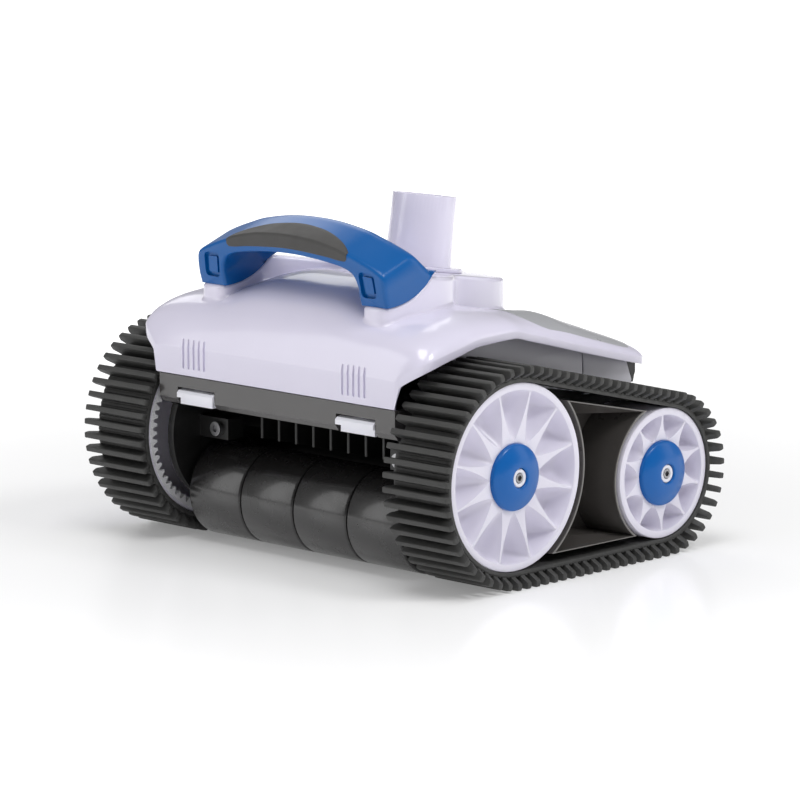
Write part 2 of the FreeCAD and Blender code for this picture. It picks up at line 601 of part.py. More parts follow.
# ---- cover -------------------------------------------------------------------------------------
# Each table row is (y, value): the lip's lower edge, the half-width at the lip, the height of the shoulder,
# and how far the middle rises above the shoulder between the handle's legs.
LIP = [(-136, 142), (-127, 147.6), (-111, 154.4), (-95, 159.8), (-69, 166.7), (-34, 170.1), (-14, 167),
       (44, 151.1), (103, 136.2), (128, 131), (137, 129.5)]
HALF_WIDTH = [(-136, 123), (-127, 130), (-111, 135.8), (-95, 138.5), (-69, 140), (-34, 140), (-14, 139),
              (44, 137), (103, 133), (122, 129.5), (131, 123), (137, 111)]
SHOULDER = [(-136, 156), (-133, 162), (-127, 171.5), (-119, 179.5), (-108, 185.5), (-92, 189), (-60, 191),
            (-20, 191), (28, 189), (60, 178), (90, 166.5), (118, 155.5), (131, 149.5), (137, 141)]
DOME = [(-136, 0), (-128, 2), (-115, 8), (-95, 14), (-70, 17), (-46, 17), (-10, 12), (30, 3), (60, 0)]
ROUNDNESS = [(-136, 6.0), (-60, 5.0), (0, 3.4), (137, 3.0)]
BAND = [(-136, 8.0), (-111, 6.8), (-69, 6.2), (137, 6.0)]


def cover_height(x, y, half):
    edge = smooth(LIP, y) + smooth(BAND, y)
    n = smooth(ROUNDNESS, y)
    u = 0.985 * min(1.0, abs(x) / half)
    side = (1 - 0.985 ** n) ** (1 / n)
    crown = ((1 - u ** n) ** (1 / n) - side) / (1 - side)
    dome = smooth(DOME, y) * math.exp(-(abs(x) / 66.0) ** 4)
    return edge + (smooth(SHOULDER, y) - edge) * crown + dome


def cover_block(inset, bottom):
    """Everything under the cover's upper surface, brought in all round by inset."""
    fractions = [0, 0.12, 0.25, 0.38, 0.5, 0.61, 0.71, 0.8, 0.87, 0.925, 0.965, 1.0]
    fractions = [-f for f in reversed(fractions[1:])] + fractions
    rows = []
    count = 31
    for j in range(count):
        t = j / (count - 1)
        t = 0.5 - 0.5 * math.cos(math.pi * t)
        y = COVER_FRONT + inset + (COVER_REAR - COVER_FRONT - 2 * inset) * t
        stretched = COVER_FRONT + (COVER_REAR - COVER_FRONT) * t
        full = smooth(HALF_WIDTH, stretched)
        half = full - inset
        rows.append([V(f * half, y, cover_height(f * full, stretched, full) - inset) for f in fractions])
    surface = Part.BSplineSurface()
    surface.interpolate(rows)
    face = surface.toShape()
    block = face.extrude(V(0, 0, -(150)))
    floor = box(-200, 200, -200, 200, -100, bottom)
    return block.cut(floor)


def fin_plan(z0, z1):
    """The wall that carries one handle leg and sweeps back into the swivel boss."""
    outer = spline([V(96, -84, z0), V(94.5, -62, z0), V(84, -32, z0), V(68, -8, z0), V(60, 12, z0)])
    inner = spline([V(30, -30, z0), V(48, -44, z0), V(62, -58, z0), V(70, -82, z0)])
    edges = [Part.LineSegment(V(70, -116, z0), V(96, -116, z0)).toShape(),
             Part.LineSegment(V(96, -116, z0), V(96, -84, z0)).toShape(), outer,
             Part.LineSegment(V(60, 12, z0), V(30, -30, z0)).toShape(), inner,
             Part.LineSegment(V(70, -82, z0), V(70, -116, z0)).toShape()]
    return Part.Face(Part.Wire(edges)).extrude(V(0, 0, z1 - z0))


LEG_ARC = (V(0, -116.0, 197.5), V(0, -89.2, 202.4), V(0, -66.0, 219.5))


def above_leg_arc(x0, x1):
    """The space above the curved seat on which the handle's legs stand."""
    low, middle, high = [V(x0, p.y, p.z) for p in LEG_ARC]
    edges = [Part.Arc(low, middle, high).toShape(),
             Part.LineSegment(high, V(x0, -66, 262)).toShape(),
             Part.LineSegment(V(x0, -66, 262), V(x0, -150, 262)).toShape(),
             Part.LineSegment(V(x0, -150, 262), V(x0, -150, 197.5)).toShape(),
             Part.LineSegment(V(x0, -150, 197.5), low).toShape()]
    return Part.Face(Part.Wire(edges)).extrude(V(x1 - x0, 0, 0))


def above_boss_plane():
    """The space above the leaning plane of the boss top."""
    space = Part.makeBox(400, 400, 60, V(-200, -200, 0))
    space.rotate(V(0, 0, 0), V(1, 0, 0), -math.degrees(TILT))
    space.translate(BOSS_TOP)
    return space


def around_axis(radius, along, count):
    """Evenly spaced points round the swivel axis, in a plane square to it."""
    places = []
    for k in range(count):
        a = math.pi / count + k * 2 * math.pi / count
        across = V(math.cos(a), math.sin(a) * math.cos(TILT), -math.sin(a) * math.sin(TILT))
        places.append(on_axis(along) + across * radius)
    return places


def cover_shell():
    """The moulded skin: fender lips that follow the tracks, and a skirt at the front."""
    ys = [-127, -111, -95, -82, -69, -52, -34, -24, -14, 14, 44, 103, 128, 138]
    lip = [(COVER_FRONT - 2, smooth(LIP, COVER_FRONT))] + [(y, smooth(LIP, y)) for y in ys]
    below = slab_x(lip + [(138, 60), (COVER_FRONT - 2, 60)], -160, 160)
    shell = cover_block(0.0, 128.0).cut(cover_block(SKIN, 100.0)).cut(below)
    skirt = slab_x([(COVER_FRONT, SKIRT_Z), (COVER_FRONT + SKIN, SKIRT_Z), (COVER_FRONT + SKIN, 156),
                    (COVER_FRONT, 152)], -122.5, 122.5)
    return join(shell, skirt)


def boss_and_fins():
    """Round boss with its two swept fins, before it is hollowed."""
    boss = Part.makeCylinder(BOSS_R, 60, on_axis(-60), AXIS)
    rim = [e for e in boss.Edges if e.isClosed() and e.CenterOfMass.z > 195]
    boss = boss.makeFillet(4.0, rim)
    fin = fin_plan(165, 240).cut(above_boss_plane()).cut(above_leg_arc(60, 110))
    return boss.fuse(fin).fuse(mirrored(fin)).cut(cover_block(SKIN, 100.0))


def swivel_boss(body):
    """The boss moulding: hollow below, with a seat for the hose swivel and bosses for the handle screws."""
    body = body.cut(Part.makeCylinder(BOSS_R - SKIN, 80, on_axis(-84.0), AXIS))
    seat = join(Part.makeCylinder(34.0, 10.5, on_axis(-14.5), AXIS), Part.makeCylinder(37.0, 5, on_axis(-6.0), AXIS))
    body = body.fuse(seat)
    body = body.cut(Part.makeCylinder(SEAT_R, 30, on_axis(SEAT_LOW), AXIS))
    body = body.cut(Part.makeCylinder(DUCT_IN, 30, on_axis(-20.0), AXIS))
    for spot in around_axis(COLLAR_SCREW_R, -8.0, 4):
        body = body.cut(Part.makeCylinder(COLLAR_SCREW, 9, spot, AXIS))
    return handle_screw_holes(body)


def handle_screw_holes(body):
    for s in (-1, 1):
        body = body.cut(Part.makeCylinder(1.5, 60, V(s * LEG_X, LEG_Y, 165)))
        body = body.cut(Part.makeCylinder(4.0, 38, V(s * LEG_X, LEG_Y, 150)))
    return body


def top_cover(boss):
    """The outer moulding, with an opening in the shape of the boss moulding that is welded into it."""
    body = cover_shell()
    for x in slot_places():
        body = body.cut(box(x - 0.9, x + 0.9, -140, -124, 135.7, 157.7))
    for s in (-1, 1):
        x0, x1 = sorted((s * 77, s * 88))
        arm = slab_x([(HINGE_Y - 5, HINGE_Z), (HINGE_Y + 5, HINGE_Z), (HINGE_Y + 5, 144), (HINGE_Y - 5, 146)], x0, x1)
        body = join(body, arm, rod(5.0, x0, x1, HINGE_Y, HINGE_Z))
    body = body.cut(rod(PIN_R + FIT, -90, 90, HINGE_Y, HINGE_Z))
    body = body.cut(deck_prism(0.0, 120, 200))
    ledge = cover_block(SKIN, 100).cut(cover_block(SKIN + 2.0, 60))
    frame = deck_prism(-3.0, 120, 200).cut(deck_prism(3.5, 110, 210))
    body = body.fuse(ledge.common(frame)).cut(boss)
    return handle_screw_holes(body.cut(Part.makeCylinder(BOSS_R - SKIN, 80, on_axis(-84.0), AXIS)))


def slot_places():
    return [side * VENT_X + (k - 2) * VENT_PITCH for side in (-1, 1) for k in range(5)]


def deck_prism(inset, z0, z1):
    """Plan of the panel let into the sloping deck, as a prism; its front edge runs round the boss."""
    half, front, rear = 79.0 - inset, 33.0 + inset, 122.0 - inset
    ring = BOSS_R + 4.0 + inset
    reach = math.sqrt(ring ** 2 - (front - BOSS_TOP.y) ** 2)
    right = [V(reach, front, z0), V(half, front, z0), V(half, 60, z0), V(half - 7, rear, z0)]
    left = [V(-p.x, p.y, z0) for p in reversed(right)]
    round_boss = Part.Arc(left[-1], V(0, BOSS_TOP.y + ring, z0), right[0]).toShape()
    return Part.Face(Part.Wire(path(*right, *left) + [round_boss])).extrude(V(0, 0, z1 - z0))


def deck_panel():
    sheet = cover_block(0.15, 60.0).cut(cover_block(SKIN - 0.1, 50.0))
    return sheet.common(deck_prism(0.3, 110, 210))


# ---- handle, swivel and small pieces on the cover -------------------------------------------------
# Right half of the arch's upper and lower edge in the front view, as (x, z).
ARCH_TOP = [(96, 213), (94.6, 220), (90, 223.8), (78, 228.6), (64, 233.2), (50, 237.2), (25, 241.2), (0, 242.4)]
ARCH_LOW = [(69, 210), (66, 217.5), (60, 221.6), (48, 224.4), (22, 227.2), (0, 228)]
LEG_FOOT = 180.0          # the legs are drawn down to here and then cut to their curved seat


def arch_point(x, z):
    return V(x, -116.0 - LEAN * (z - 197.5), z)


def both_sides(half):
    """Mirror the right half of an outline that ends on the middle line."""
    return half + [(-x, z) for x, z in reversed(half[:-1])]


def arch_spline(half):
    return spline([arch_point(x, z) for x, z in both_sides(half)])


def handle_solid():
    """Front face of the arch, carried up and back along RISE and then down along FALL."""
    outside, inside = ARCH_TOP[0], ARCH_LOW[0]
    edges = [arch_spline(ARCH_TOP), arch_spline(ARCH_LOW)]
    for s in (-1, 1):
        edges += path(arch_point(s * outside[0], outside[1]), arch_point(s * outside[0], LEG_FOOT),
                      arch_point(s * inside[0], LEG_FOOT), arch_point(s * inside[0], inside[1]))
    wire = Part.Wire(Part.__sortEdges__(edges))
    first = Part.Face(wire).extrude(RISE)
    second = Part.Face(wire.translated(RISE)).extrude(FALL)
    return first.fuse(second).removeSplitter().common(above_leg_arc(-100, 100))


def grip_seat():
    """Block that the soft insert fills on the upper front of the arch."""
    top = [(64, 237.5), (50, 243.2), (25, 246.2), (0, 247)]
    low = [(64, 229), (40, 231.5), (0, 232.6)]
    ends = [path(arch_point(s * 64, 237.5), arch_point(s * 64, 229))[0] for s in (-1, 1)]
    wire = Part.Wire(Part.__sortEdges__([arch_spline(top), arch_spline(low)] + ends))
    wire.translate(V(0, -4, 0))
    return Part.Face(wire).extrude(V(0, 16, 5.8))


def handle_parts():
    solid = handle_solid()
    shell = solid.cut(grip_seat())
    screws = []
    for s in (-1, 1):
        shell = shell.cut(Part.makeCylinder(1.5, 22, V(s * LEG_X, LEG_Y, 196)))
        shank = Part.makeCylinder(1.5, 26, V(s * LEG_X, LEG_Y, 188))
        screws.append(shank.fuse(Part.makeCylinder(3.6, 2.4, V(s * LEG_X, LEG_Y, 185.6))))
    save("handle_shell", shell)
    save("handle_grip", solid.common(grip_seat()))
    save("handle_screws", *screws)


def swivel():
    """Hose spigot that turns in the boss, held down by a screwed collar over its flange."""
    flange = axis_tube(29.2, DUCT_IN, -8.6, -4.6)
    taper = HOSE_LEN + 4.6 - LAND
    outer = Part.makeCone(HOSE_R + 0.7, LAND_R, taper, on_axis(-4.6), AXIS)
    outer = outer.fuse(Part.makeCylinder(LAND_R, LAND, on_axis(HOSE_LEN - LAND), AXIS))
    bore = Part.makeCone(DUCT_IN, DUCT_IN + 1, HOSE_LEN + 12, on_axis(-9.6), AXIS)
    save("hose_cone", outer.fuse(flange).cut(bore))
    collar = join(axis_tube(33.5, HOSE_R + 0.8, 0.1, 3.0), axis_tube(29.4, HOSE_R + 0.8, -4.4, 0.1))
    screws = []
    for spot in around_axis(COLLAR_SCREW_R, -7.0, 4):
        shank = Part.makeCylinder(COLLAR_SCREW, 10.2, spot, AXIS)
        head = Part.makeCylinder(1.5, 1.2, spot + AXIS * 8.8, AXIS)
        collar = collar.cut(Part.makeCylinder(COLLAR_SCREW, 20, spot, AXIS))
        collar = collar.cut(Part.makeCylinder(1.5, 6, spot + AXIS * 8.8, AXIS))
        screws.append(shank.fuse(head))
    save("swivel_collar", collar)
    save("collar_screws", *screws)
    save("swivel_seal", axis_tube(29.2, 21.4, SEAT_LOW, SEAT_LOW + 0.3))


def float_block():
    """Foam float under the front of the cover, which keeps the cleaner upright in the water."""
    block = cover_block(SKIN + 0.5, 140.0).common(box(-62, 62, -124, -62, 142, 200))
    return block.cut(Part.makeCylinder(BOSS_R + 1, 90, on_axis(-86), AXIS))


# ---- roller ------------------------------------------------------------------------------------
def roller():
    """Full-width front roller: four sleeves on a core tube that turns on two end stubs."""
    pitch = 2 * ROLLER_END / ROLLER_SLEEVES
    sleeves = []
    for k in range(ROLLER_SLEEVES):
        x0 = -ROLLER_END + pitch * k
        x1 = x0 + pitch
        profile = [(x0 + 0.4, ROLLER_R - 5), (x0 + 0.4, ROLLER_R - 1.2), (x0 + 1.6, ROLLER_R),
                   (x1 - 1.6, ROLLER_R), (x1 - 0.4, ROLLER_R - 1.2), (x1 - 0.4, ROLLER_R - 5)]
        sleeves.append(turned(profile, ROLLER_Y, ROLLER_Z))
    save("roller_sleeves", *sleeves)
    save("roller_core", tube(ROLLER_R - 5, ROLLER_R - 8, -ROLLER_END + 1, ROLLER_END - 1, ROLLER_Y, ROLLER_Z))
    plug = join(rod(ROLLER_R - 8, ROLLER_END - 6, ROLLER_END - 1, ROLLER_Y, ROLLER_Z),
                rod(4.0, ROLLER_END - 1, WALL_OUT, ROLLER_Y, ROLLER_Z))
    save("roller_end_plugs", plug, mirrored(plug))
    bush = tube(8.0, 4.0 + FIT, WALL_IN, WALL_OUT, ROLLER_Y, ROLLER_Z)
    save("roller_bushes", bush, mirrored(bush))


# ---- latches and small fittings ------------------------------------------------------------------
def latch():
    """Release tab in the band: a thumb bar, a lower lip, a tongue, and a pivot stub at each end."""
    x0, x1 = LATCH_X
    bar = slab_x([(-135.4, 113.4), (-135.4, 116.8), (-133.6, 118.6), (-130, 119.4), (-126.6, 119.4),
                  (-126.6, 113.4)], x0, x1)
    lip = slab_x([(-132.6, 108.2), (-132.6, 113.4), (-127.6, 113.4), (-127.6, 108.2)], x0 + 3, x1 - 1)
    tongue = slab_x([(-128.6, 118), (-126.6, 118), (-126.6, 136), (-128.6, 136)], x0 + 12, x1 - 12)
    stub = rod(LATCH_STUB, x0 - 4.2, x1 + 4.2, LATCH_Y, LATCH_Z)
    return join(bar, lip, tongue, stub)


def fittings():
    body = latch()
    save("latch_right", body)
    save("latch_left", mirrored(body))
    save("rear_hooks", *rear_hooks())
    save("hinge_pin", rod(PIN_R, -90, 90, HINGE_Y, HINGE_Z))
    screws = []
    for s in (-1, 1):
        head = Part.makeCylinder(5.4, 4.0, V(s * 94, -104, 86), V(0, 1, 0))
        shank = Part.makeCylinder(2.6, 16, V(s * 94, -101, 86), V(0, 1, 0))
        socket = Part.makeCylinder(2.6, 3, V(s * 94, -105, 86), V(0, 1, 0))
        screws.append(head.fuse(shank).cut(socket))
    save("chassis_screws", *screws)


if __name__ == "__main__":
    tracks()
    drive_train()
    housing()
    right_and_left = {"gearbox_cover": gearbox_cover(), "side_frame": side_frame(),
                      "side_panel": side_panels()[0], "rear_quarter": side_panels()[1]}
    for name, shape in right_and_left.items():
        save(name + "_right", shape)
        save(name + "_left", mirrored(shape))
    boss = boss_and_fins()
    for name, shape in {"chassis_tub": chassis(), "front_bumper": front_bumper(), "debris_comb": comb(),
                        "rear_bumper": rear_bumper(), "top_cover": top_cover(boss), "swivel_boss": swivel_boss(boss),
                        "deck_panel": deck_panel(), "float_block": float_block()}.items():
        save(name, shape)
    handle_parts()
    swivel()
    roller()
    fittings()
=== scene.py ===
import json
import math
import bmesh
import bpy
from mathutils import Matrix, Vector
from mathutils.geometry import tessellate_polygon


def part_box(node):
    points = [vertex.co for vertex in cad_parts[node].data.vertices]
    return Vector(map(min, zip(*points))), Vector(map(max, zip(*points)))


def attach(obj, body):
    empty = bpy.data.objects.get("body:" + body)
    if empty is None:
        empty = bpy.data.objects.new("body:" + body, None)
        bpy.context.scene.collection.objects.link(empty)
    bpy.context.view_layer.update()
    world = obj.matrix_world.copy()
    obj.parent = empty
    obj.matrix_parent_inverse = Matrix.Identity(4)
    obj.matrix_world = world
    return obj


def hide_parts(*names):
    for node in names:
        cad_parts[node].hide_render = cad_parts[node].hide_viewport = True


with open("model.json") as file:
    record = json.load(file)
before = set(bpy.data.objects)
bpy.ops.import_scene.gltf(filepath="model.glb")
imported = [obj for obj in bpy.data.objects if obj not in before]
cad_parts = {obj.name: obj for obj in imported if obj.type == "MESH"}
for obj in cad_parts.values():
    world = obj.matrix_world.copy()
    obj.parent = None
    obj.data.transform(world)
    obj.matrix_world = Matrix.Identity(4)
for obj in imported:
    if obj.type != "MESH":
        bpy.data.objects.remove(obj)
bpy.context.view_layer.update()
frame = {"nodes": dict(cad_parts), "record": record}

# Tracked pool cleaner: visual model. Shapes are worked out in millimetres and scaled when a piece is made.
MM = 0.001
SIDES = ((1, "right"), (-1, "left"))


# ---- small helpers ---------------------------------------------------------------------------
def mm_box(node):
    """Lowest and highest corner of a node's box, in millimetres."""
    low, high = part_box(node)
    return low / MM, high / MM


def smooth(table, t):
    """Read a smooth curve through the (t, value) rows of a table."""
    if t <= table[0][0]:
        return table[0][1]
    if t >= table[-1][0]:
        return table[-1][1]
    k = max(i for i in range(len(table) - 1) if table[i][0] <= t)

    def slope(i):
        if i == 0 or i == len(table) - 1:
            j = min(i, len(table) - 2)
            return (table[j + 1][1] - table[j][1]) / (table[j + 1][0] - table[j][0])
        before = (table[i][1] - table[i - 1][1]) / (table[i][0] - table[i - 1][0])
        after = (table[i + 1][1] - table[i][1]) / (table[i + 1][0] - table[i][0])
        if before * after <= 0:
            return 0.0
        return 2 * before * after / (before + after)

    step = table[k + 1][0] - table[k][0]
    s = (t - table[k][0]) / step
    a, b = table[k][1], table[k + 1][1]
    ma, mb = slope(k) * step, slope(k + 1) * step
    return ((2 * s ** 3 - 3 * s ** 2 + 1) * a + (s ** 3 - 2 * s ** 2 + s) * ma
            + (3 * s ** 2 - 2 * s ** 3) * b + (s ** 3 - s ** 2) * mb)


def catmull(points, steps, closed=False):
    """Dense points on a smooth curve through the given 2-D points."""
    n = len(points)
    out = []
    last = n if closed else n - 1
    for i in range(last):
        p1, p2 = points[i], points[(i + 1) % n]
        p0 = points[i - 1] if (closed or i > 0) else p1
        p3 = points[(i + 2) % n] if (closed or i + 2 < n) else p2
        for k in range(steps):
            t = k / steps
            out.append(tuple(0.5 * (2 * b + (c - a) * t + (2 * a - 5 * b + 4 * c - d) * t * t
                                    + (3 * b - a - 3 * c + d) * t ** 3)
                             for a, b, c, d in zip(p0, p1, p2, p3)))
    if not closed:
        out.append(tuple(points[-1]))
    return out


MITRE_LIMIT = 1.6      # how far a sharp corner may run out when an outline is inset


def inset_outline(points, amount):
    """Move a closed counter-clockwise outline inwards by amount."""
    n = len(points)
    moved = []
    for i, (x, y) in enumerate(points):
        ax, ay = points[i - 1]
        bx, by = points[(i + 1) % n]
        u = Vector((x - ax, y - ay))
        v = Vector((bx - x, by - y))
        u = u.normalized() if u.length > 1e-9 else v.normalized()
        v = v.normalized() if v.length > 1e-9 else u
        normal = Vector((-(u.y + v.y), u.x + v.x))
        scale = normal.length
        if scale < 1e-6:
            moved.append((x, y))
            continue
        normal /= scale
        stretch = min(MITRE_LIMIT, 2.0 / scale)
        moved.append((x + normal.x * amount * stretch, y + normal.y * amount * stretch))
    return moved


def side_view(p):
    return (p[1], p[2])


def front_view(p):
    return (p[0], p[2])


def loft(rings, caps=(True, True), loop=False, flat=None):
    """Vertices and faces through rings of equal length; flat gives the 2-D view used to fill the caps."""
    n = len(rings[0])
    verts = [p for ring in rings for p in ring]
    faces = []
    count = len(rings)
    for j in range(count if loop else count - 1):
        a, b = j * n, ((j + 1) % count) * n
        for i in range(n):
            k = (i + 1) % n
            faces.append((a + i, a + k, b + k, b + i))
    if not loop:
        for end, on in ((0, caps[0]), (count - 1, caps[1])):
            if on:
                ring = rings[end]
                view = [Vector((*(flat(p) if flat else (p[0], p[1])), 0)) for p in ring]
                faces += [tuple(end * n + i for i in tri) for tri in tessellate_polygon([view])]
    return verts, faces


def lathe(profile, y, z, side=1, count=128):
    """Closed (x, r) outline turned about the X axis line at (y, z)."""
    angles = [2 * math.pi * i / count for i in range(count)]
    rings = [[(side * x, y + r * math.cos(a), z + r * math.sin(a)) for a in angles] for x, r in profile]
    return loft(rings, loop=True)


def make(name, shape, material, sharp=32.0):
    """A mesh object from vertices in millimetres and faces, with clean outward normals."""
    verts, faces = shape
    mesh = bpy.data.meshes.new(name)
    mesh.from_pydata([(x * MM, y * MM, z * MM) for x, y, z in verts], [], faces)
    bm = bmesh.new()
    bm.from_mesh(mesh)
    bmesh.ops.remove_doubles(bm, verts=bm.verts, dist=2e-6)
    bmesh.ops.dissolve_degenerate(bm, edges=bm.edges, dist=1e-6)
    bmesh.ops.recalc_face_normals(bm, faces=bm.faces)
    bm.to_mesh(mesh)
    bm.free()
    obj = bpy.data.objects.new(name, mesh)
    bpy.context.scene.collection.objects.link(obj)
    obj.data.materials.append(material)
    shade(obj, sharp)
    return obj


def shade(obj, sharp=32.0):
    """Smooth shading with edges sharper than this angle in degrees kept."""
    for face in obj.data.polygons:
        face.use_smooth = True
    obj.data.set_sharp_from_angle(angle=math.radians(sharp))


def piece(name, shape, body, slot, nodes=(), sharp=32.0, material=None):
    """A visible piece that rides on a body and takes the place of the named CAD nodes."""
    obj = make(name, shape, material or SURFACES[slot], sharp)
    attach(obj, body)
    if nodes:
        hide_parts(*nodes)
    return obj


def cut_with(obj, tools, sharp=32.0):
    """Subtract scratch meshes from a piece and remove them."""
    for cutter in tools:
        mod = obj.modifiers.new("cut", "BOOLEAN")
        mod.operation = "DIFFERENCE"
        mod.solver = "EXACT"
        mod.object = cutter
    graph = bpy.context.evaluated_depsgraph_get()
    result = bpy.data.meshes.new_from_object(obj.evaluated_get(graph))
    obj.modifiers.clear()
    material = obj.data.materials[0]
    obj.data = result
    obj.data.materials.clear()
    obj.data.materials.append(material)
    shade(obj, sharp)
    for cutter in tools:
        bpy.data.objects.remove(cutter, do_unlink=True)


# ---- materials -------------------------------------------------------------------------------
def lin(r, g, b):
    """Linear colour from 8-bit screen values."""
    levels = [c / 255 for c in (r, g, b)]
    return tuple(v / 12.92 if v <= 0.04045 else ((v + 0.055) / 1.055) ** 2.4 for v in levels) + (1.0,)


def surface(name, colour, rough, vary=0.05, grain=0.15, grain_scale=900.0, mottle=0.04, mottle_scale=18.0,
            coat=0.0, coat_rough=0.1, specular=0.5, metallic=0.0):
    """Moulded material in an 8-bit colour: faint mottling, uneven gloss and a fine moulded grain."""
    colour = lin(*colour)
    mat = bpy.data.materials.new(name)
    mat.use_nodes = True
    nodes, links = mat.node_tree.nodes, mat.node_tree.links
    bsdf = nodes["Principled BSDF"]
    bsdf.inputs["Metallic"].default_value = metallic
    bsdf.inputs["Specular IOR Level"].default_value = specular
    bsdf.inputs["Coat Weight"].default_value = coat
    bsdf.inputs["Coat Roughness"].default_value = coat_rough
    place = nodes.new("ShaderNodeTexCoord")

    def noise(scale, detail):
        node = nodes.new("ShaderNodeTexNoise")
        node.inputs["Scale"].default_value = scale
        node.inputs["Detail"].default_value = detail
        links.new(place.outputs["Object"], node.inputs["Vector"])
        return node

    broad = noise(mottle_scale, 4.0)
    ramp = nodes.new("ShaderNodeValToRGB")
    ramp.color_ramp.elements[0].position = 0.3
    ramp.color_ramp.elements[1].position = 0.7
    ramp.color_ramp.elements[0].color = tuple(c * (1 - mottle) for c in colour[:3]) + (1.0,)
    ramp.color_ramp.elements[1].color = tuple(min(1.0, c * (1 + mottle)) for c in colour[:3]) + (1.0,)
    links.new(broad.outputs["Fac"], ramp.inputs["Fac"])
    links.new(ramp.outputs["Color"], bsdf.inputs["Base Color"])
    patches = noise(mottle_scale * 4, 3.0)
    span = nodes.new("ShaderNodeMapRange")
    span.inputs["From Min"].default_value = 0.3
    span.inputs["From Max"].default_value = 0.7
    span.inputs["To Min"].default_value = max(0.02, rough - vary)
    span.inputs["To Max"].default_value = rough + vary
    links.new(patches.outputs["Fac"], span.inputs["Value"])
    links.new(span.outputs["Result"], bsdf.inputs["Roughness"])
    fine = noise(grain_scale, 2.0)
    bump = nodes.new("ShaderNodeBump")
    bump.inputs["Strength"].default_value = grain
    bump.inputs["Distance"].default_value = 0.0002
    links.new(fine.outputs["Fac"], bump.inputs["Height"])
    links.new(bump.outputs["Normal"], bsdf.inputs["Normal"])
    return mat


LOOKS = {
    "shell_lilac_white": dict(colour=(220, 216, 234), rough=0.24, vary=0.02, coat=0.45, coat_rough=0.06,
                              grain=0.012, mottle=0.012),
    "deck_grey": dict(colour=(168, 169, 173), rough=0.3, vary=0.03, coat=0.25, grain=0.02, mottle=0.015),
    "panel_grey": dict(colour=(190, 189, 197), rough=0.36, vary=0.03, grain=0.03, mottle=0.02),
    "blue_plastic": dict(colour=(0, 88, 158), rough=0.3, vary=0.02, coat=0.12, coat_rough=0.1, specular=0.3,
                         grain=0.015, mottle=0.015),
    "grip_soft": dict(colour=(64, 63, 62), rough=0.6, grain=0.25, grain_scale=1500, mottle=0.05),
    "track_rubber": dict(colour=(62, 62, 61), rough=0.62, grain=0.45, grain_scale=1100, mottle=0.12,
                         mottle_scale=60),
    "chassis_dark": dict(colour=(20, 20, 20), rough=0.42, grain=0.15, mottle=0.08),
    "band_black": dict(colour=(62, 60, 60), rough=0.24, vary=0.03, coat=0.35, grain=0.02, mottle=0.02),
    "roller_black": dict(colour=(34, 33, 33), rough=0.26, coat=0.4, grain=0.08, grain_scale=500),
    "wheel_white": dict(colour=(228, 225, 238), rough=0.34, vary=0.03, grain=0.02, coat=0.15, mottle=0.015),
    "hub_blue": dict(colour=(0, 94, 172), rough=0.3, vary=0.02, coat=0.12, coat_rough=0.12, specular=0.3,
                     grain=0.015, mottle=0.015),
    "latch_white": dict(colour=(236, 236, 244), rough=0.35, grain=0.08),
    "gear_white": dict(colour=(225, 225, 228), rough=0.4, grain=0.1),
    "bearing_plastic": dict(colour=(60, 60, 64), rough=0.45, grain=0.15),
    "steel": dict(colour=(150, 150, 152), rough=0.3, grain=0.2, grain_scale=700, metallic=1.0),
    "seal_rubber": dict(colour=(30, 30, 30), rough=0.7, grain=0.3),
    "foam": dict(colour=(225, 224, 215), rough=0.9, grain=0.9, grain_scale=420, mottle=0.06),
}
SURFACES = {slot: surface(slot, **look) for slot, look in LOOKS.items()}
# Two looks within the chassis slot: the side frame, and the raised line along its front edge, whose lighter
# grey is a painted highlight for the light that edge catches.
LIP_PAINTED_HIGHLIGHT = surface("frame_lip", (118, 116, 113), 0.35, grain=0.02)
FRAME_GREY = surface("frame_dark", (74, 71, 69), 0.32, grain=0.05, coat=0.2)


# ---- wheels, hub caps, axle screws -------------------------------------------------------------
HUB_R = 24.2           # hub cap
AXLE_R = 6.08          # bore of a wheel
POCKET_DEPTH = 17.0
WEB_BACK = 24.0        # back of the wheel's web, behind its face
RIDGE_TIP = 0.75       # half-width of a ridge at the rim
WHEEL_PLAN = {"front_wheel": (12, math.radians(15)), "rear_wheel": (10, math.radians(18))}


